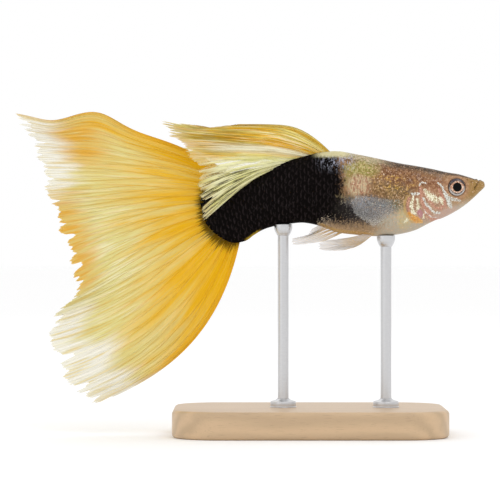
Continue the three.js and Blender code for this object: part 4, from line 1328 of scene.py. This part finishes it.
# The view is square on to the fish's right side, and 55 mm wide at its midline.
VIEW_WIDTH = 0.055
VIEW_DISTANCE = 0.3
VIEW_CENTRE = (-0.000055, 0.0, 0.02028)
SENSOR = 36.0
FLOOR_HALF, FLOOR_CELLS = 3.0, 12
# The soft lamps all point at one place: name, place, width and power.
LAMP_AIM = (0.0, 0.0, 0.022)
LAMPS = [
    ("key", (0.12, -0.3, 0.36), 0.22, 0.2),
    ("fill", (-0.32, -0.28, 0.12), 0.3, 0.07),
    ("rear", (-0.05, 0.22, 0.3), 0.3, 0.1),
]


def build_floor():
    """A wide level floor, so pale that it runs into the white round it."""
    line = np.linspace(-FLOOR_HALF, FLOOR_HALF, FLOOR_CELLS + 1) / MM
    points = np.stack(np.broadcast_arrays(line[None, :], line[:, None], 0.0), -1)
    floor = mesh_object("floor_plane", points, grid_quads(len(line), len(line)))
    finish = Finish("pale_floor")
    grain = finish.noise(finish.vector(*finish.place()), 0.4, 2.0)
    tint = finish.blend(grain, (0.984, 0.984, 0.984), (0.99, 0.99, 0.99))
    floor.data.materials.append(finish.close(finish.principled(
        Base_Color=tint, Roughness=0.9, Specular_IOR_Level=0.1)))
    return floor


def place_in_scene(name, data, place):
    """A new object in the scene that holds a light or a camera."""
    holder = bpy.data.objects.new(name, data)
    bpy.context.scene.collection.objects.link(holder)
    holder.location = place
    return holder


def add_lamp(name, place, width, power):
    """A square lamp that faces the fish."""
    data = bpy.data.lights.new(name, "AREA")
    data.shape = "SQUARE"
    data.size = width
    data.energy = power
    lamp = place_in_scene(name, data, place)
    way = lamp.location - Vector(LAMP_AIM)
    lamp.rotation_euler = way.to_track_quat("Z", "Y").to_euler()


def add_white_world(scene):
    """Even white light from all round."""
    world = bpy.data.worlds.new("soft_white")
    world.use_nodes = True
    colour, strength = world.node_tree.nodes["Background"].inputs[:2]
    colour.default_value = (1, 1, 1, 1)
    strength.default_value = 1.0
    scene.world = world
    scene.view_settings.view_transform = "Standard"


def add_camera(scene):
    """The camera, square on to the fish's right side."""
    lens = bpy.data.cameras.new("camera")
    lens.sensor_width = SENSOR
    lens.lens = SENSOR * VIEW_DISTANCE / VIEW_WIDTH
    lens.clip_start = 0.01
    camera = place_in_scene("camera", lens, (VIEW_CENTRE[0], -VIEW_DISTANCE, VIEW_CENTRE[2]))
    camera.rotation_euler = (math.pi / 2, 0, 0)
    scene.camera = camera


# Operators

# The paired pieces' sides, with right as -Y.
PAIR = ((-1, "right"), (1, "left"))


class GUPPY_OT_stage(bpy.types.Operator):
    """Makes the pale floor, the soft lights and the camera"""

    bl_idname = "guppy.stage"
    bl_label = "Stage"

    def execute(self, context):
        build_floor()
        for lamp in LAMPS:
            add_lamp(*lamp)
        add_white_world(context.scene)
        add_camera(context.scene)
        return {"FINISHED"}


class GUPPY_OT_skin(bpy.types.Operator):
    """Builds the one skin of the head, body and tail stalk"""

    bl_idname = "guppy.skin"
    bl_label = "Skin"

    def execute(self, context):
        skin = build_skin(context.scene.guppy_form)
        finish_piece(skin, skin_finish(context.scene.guppy_colours), "skin", "head", "lower_jaw",
                     "gill_cover_right", "gill_cover_left", "torso", "tail_stalk")
        return {"FINISHED"}


class GUPPY_OT_eyes(bpy.types.Operator):
    """Builds both eyeballs"""

    bl_idname = "guppy.eyes"
    bl_label = "Eyes"

    def execute(self, context):
        finish = eye_finish()
        for side, hand in PAIR:
            finish_piece(build_eye(side, f"eyeball_{hand}"), finish, "eye", f"eye_{hand}")
        return {"FINISHED"}


class GUPPY_OT_yellow_fins(bpy.types.Operator):
    """Builds the veil tail and the folded dorsal fin"""

    bl_idname = "guppy.yellow_fins"
    bl_label = "Tail and dorsal fins"

    def execute(self, context):
        form, colours = context.scene.guppy_form, context.scene.guppy_colours
        tail = build_fin("tail_veil", TAIL, form)
        finish_piece(tail, tail_finish(colours), "yellow_fin", "caudal_fin")
        dorsal = build_fin("dorsal_veil", DORSAL, form)
        finish_piece(dorsal, dorsal_finish(), "yellow_fin", "dorsal_fin")
        return {"FINISHED"}


class GUPPY_OT_clear_fins(bpy.types.Operator):
    """Builds the anal fin, both pelvic fins and both pectoral fins"""

    bl_idname = "guppy.clear_fins"
    bl_label = "Clear fins"

    def execute(self, context):
        form = context.scene.guppy_form
        lower = clear_fin_finish("lower_membrane", LOWER_LOOK)
        pectoral = clear_fin_finish("pectoral_membrane", PECTORAL_LOOK)
        finish_piece(build_fin("anal_veil", ANAL, form), lower, "clear_fin", "anal_fin")
        for word, fin, finish in (("pelvic", pelvic_fin, lower), ("pectoral", pectoral_fin, pectoral)):
            for side, hand in PAIR:
                piece = build_fin(f"{word}_veil_{hand}", fin(side), form)
                finish_piece(piece, finish, "clear_fin", f"{word}_fin_{hand}")
        return {"FINISHED"}


class GUPPY_OT_stand(bpy.types.Operator):
    """Builds the wooden base and its two rods"""

    bl_idname = "guppy.stand"
    bl_label = "Stand"

    def execute(self, context):
        finish_piece(build_base(), wood_finish(context.scene.guppy_colours), "base", "stand_base")
        steel = steel_finish()
        for node, x in RODS:
            finish_piece(build_rod(node.replace("stand_", "turned_"), x), steel, "rod", node)
        return {"FINISHED"}


class GUPPY_PT_panel(bpy.types.Panel):
    """Lists the pieces of the guppy and its settings"""

    bl_idname = "GUPPY_PT_panel"
    bl_label = "Fancy guppy"
    bl_space_type = "VIEW_3D"
    bl_region_type = "UI"
    bl_category = "Guppy"

    def draw(self, context):
        for operator in OPERATORS:
            self.layout.operator(operator.bl_idname)
        for group in (context.scene.guppy_form, context.scene.guppy_colours):
            for name in group.__annotations__:
                self.layout.prop(group, name)


OPERATORS = (GUPPY_OT_stage, GUPPY_OT_skin, GUPPY_OT_eyes, GUPPY_OT_yellow_fins,
             GUPPY_OT_clear_fins, GUPPY_OT_stand)
CLASSES = (GuppyForm, GuppyColours, *OPERATORS, GUPPY_PT_panel)


def register():
    for cls in CLASSES:
        bpy.utils.register_class(cls)
    bpy.types.Scene.guppy_form = bpy.props.PointerProperty(type=GuppyForm)
    bpy.types.Scene.guppy_colours = bpy.props.PointerProperty(type=GuppyColours)


def unregister():
    del bpy.types.Scene.guppy_colours
    del bpy.types.Scene.guppy_form
    for cls in reversed(CLASSES):
        bpy.utils.unregister_class(cls)


def main():
    register()
    bpy.ops.guppy.stage()
    bpy.ops.guppy.skin()
    bpy.ops.guppy.eyes()
    bpy.ops.guppy.yellow_fins()
    bpy.ops.guppy.clear_fins()
    bpy.ops.guppy.stand()


if __name__ == "__main__":
    main()
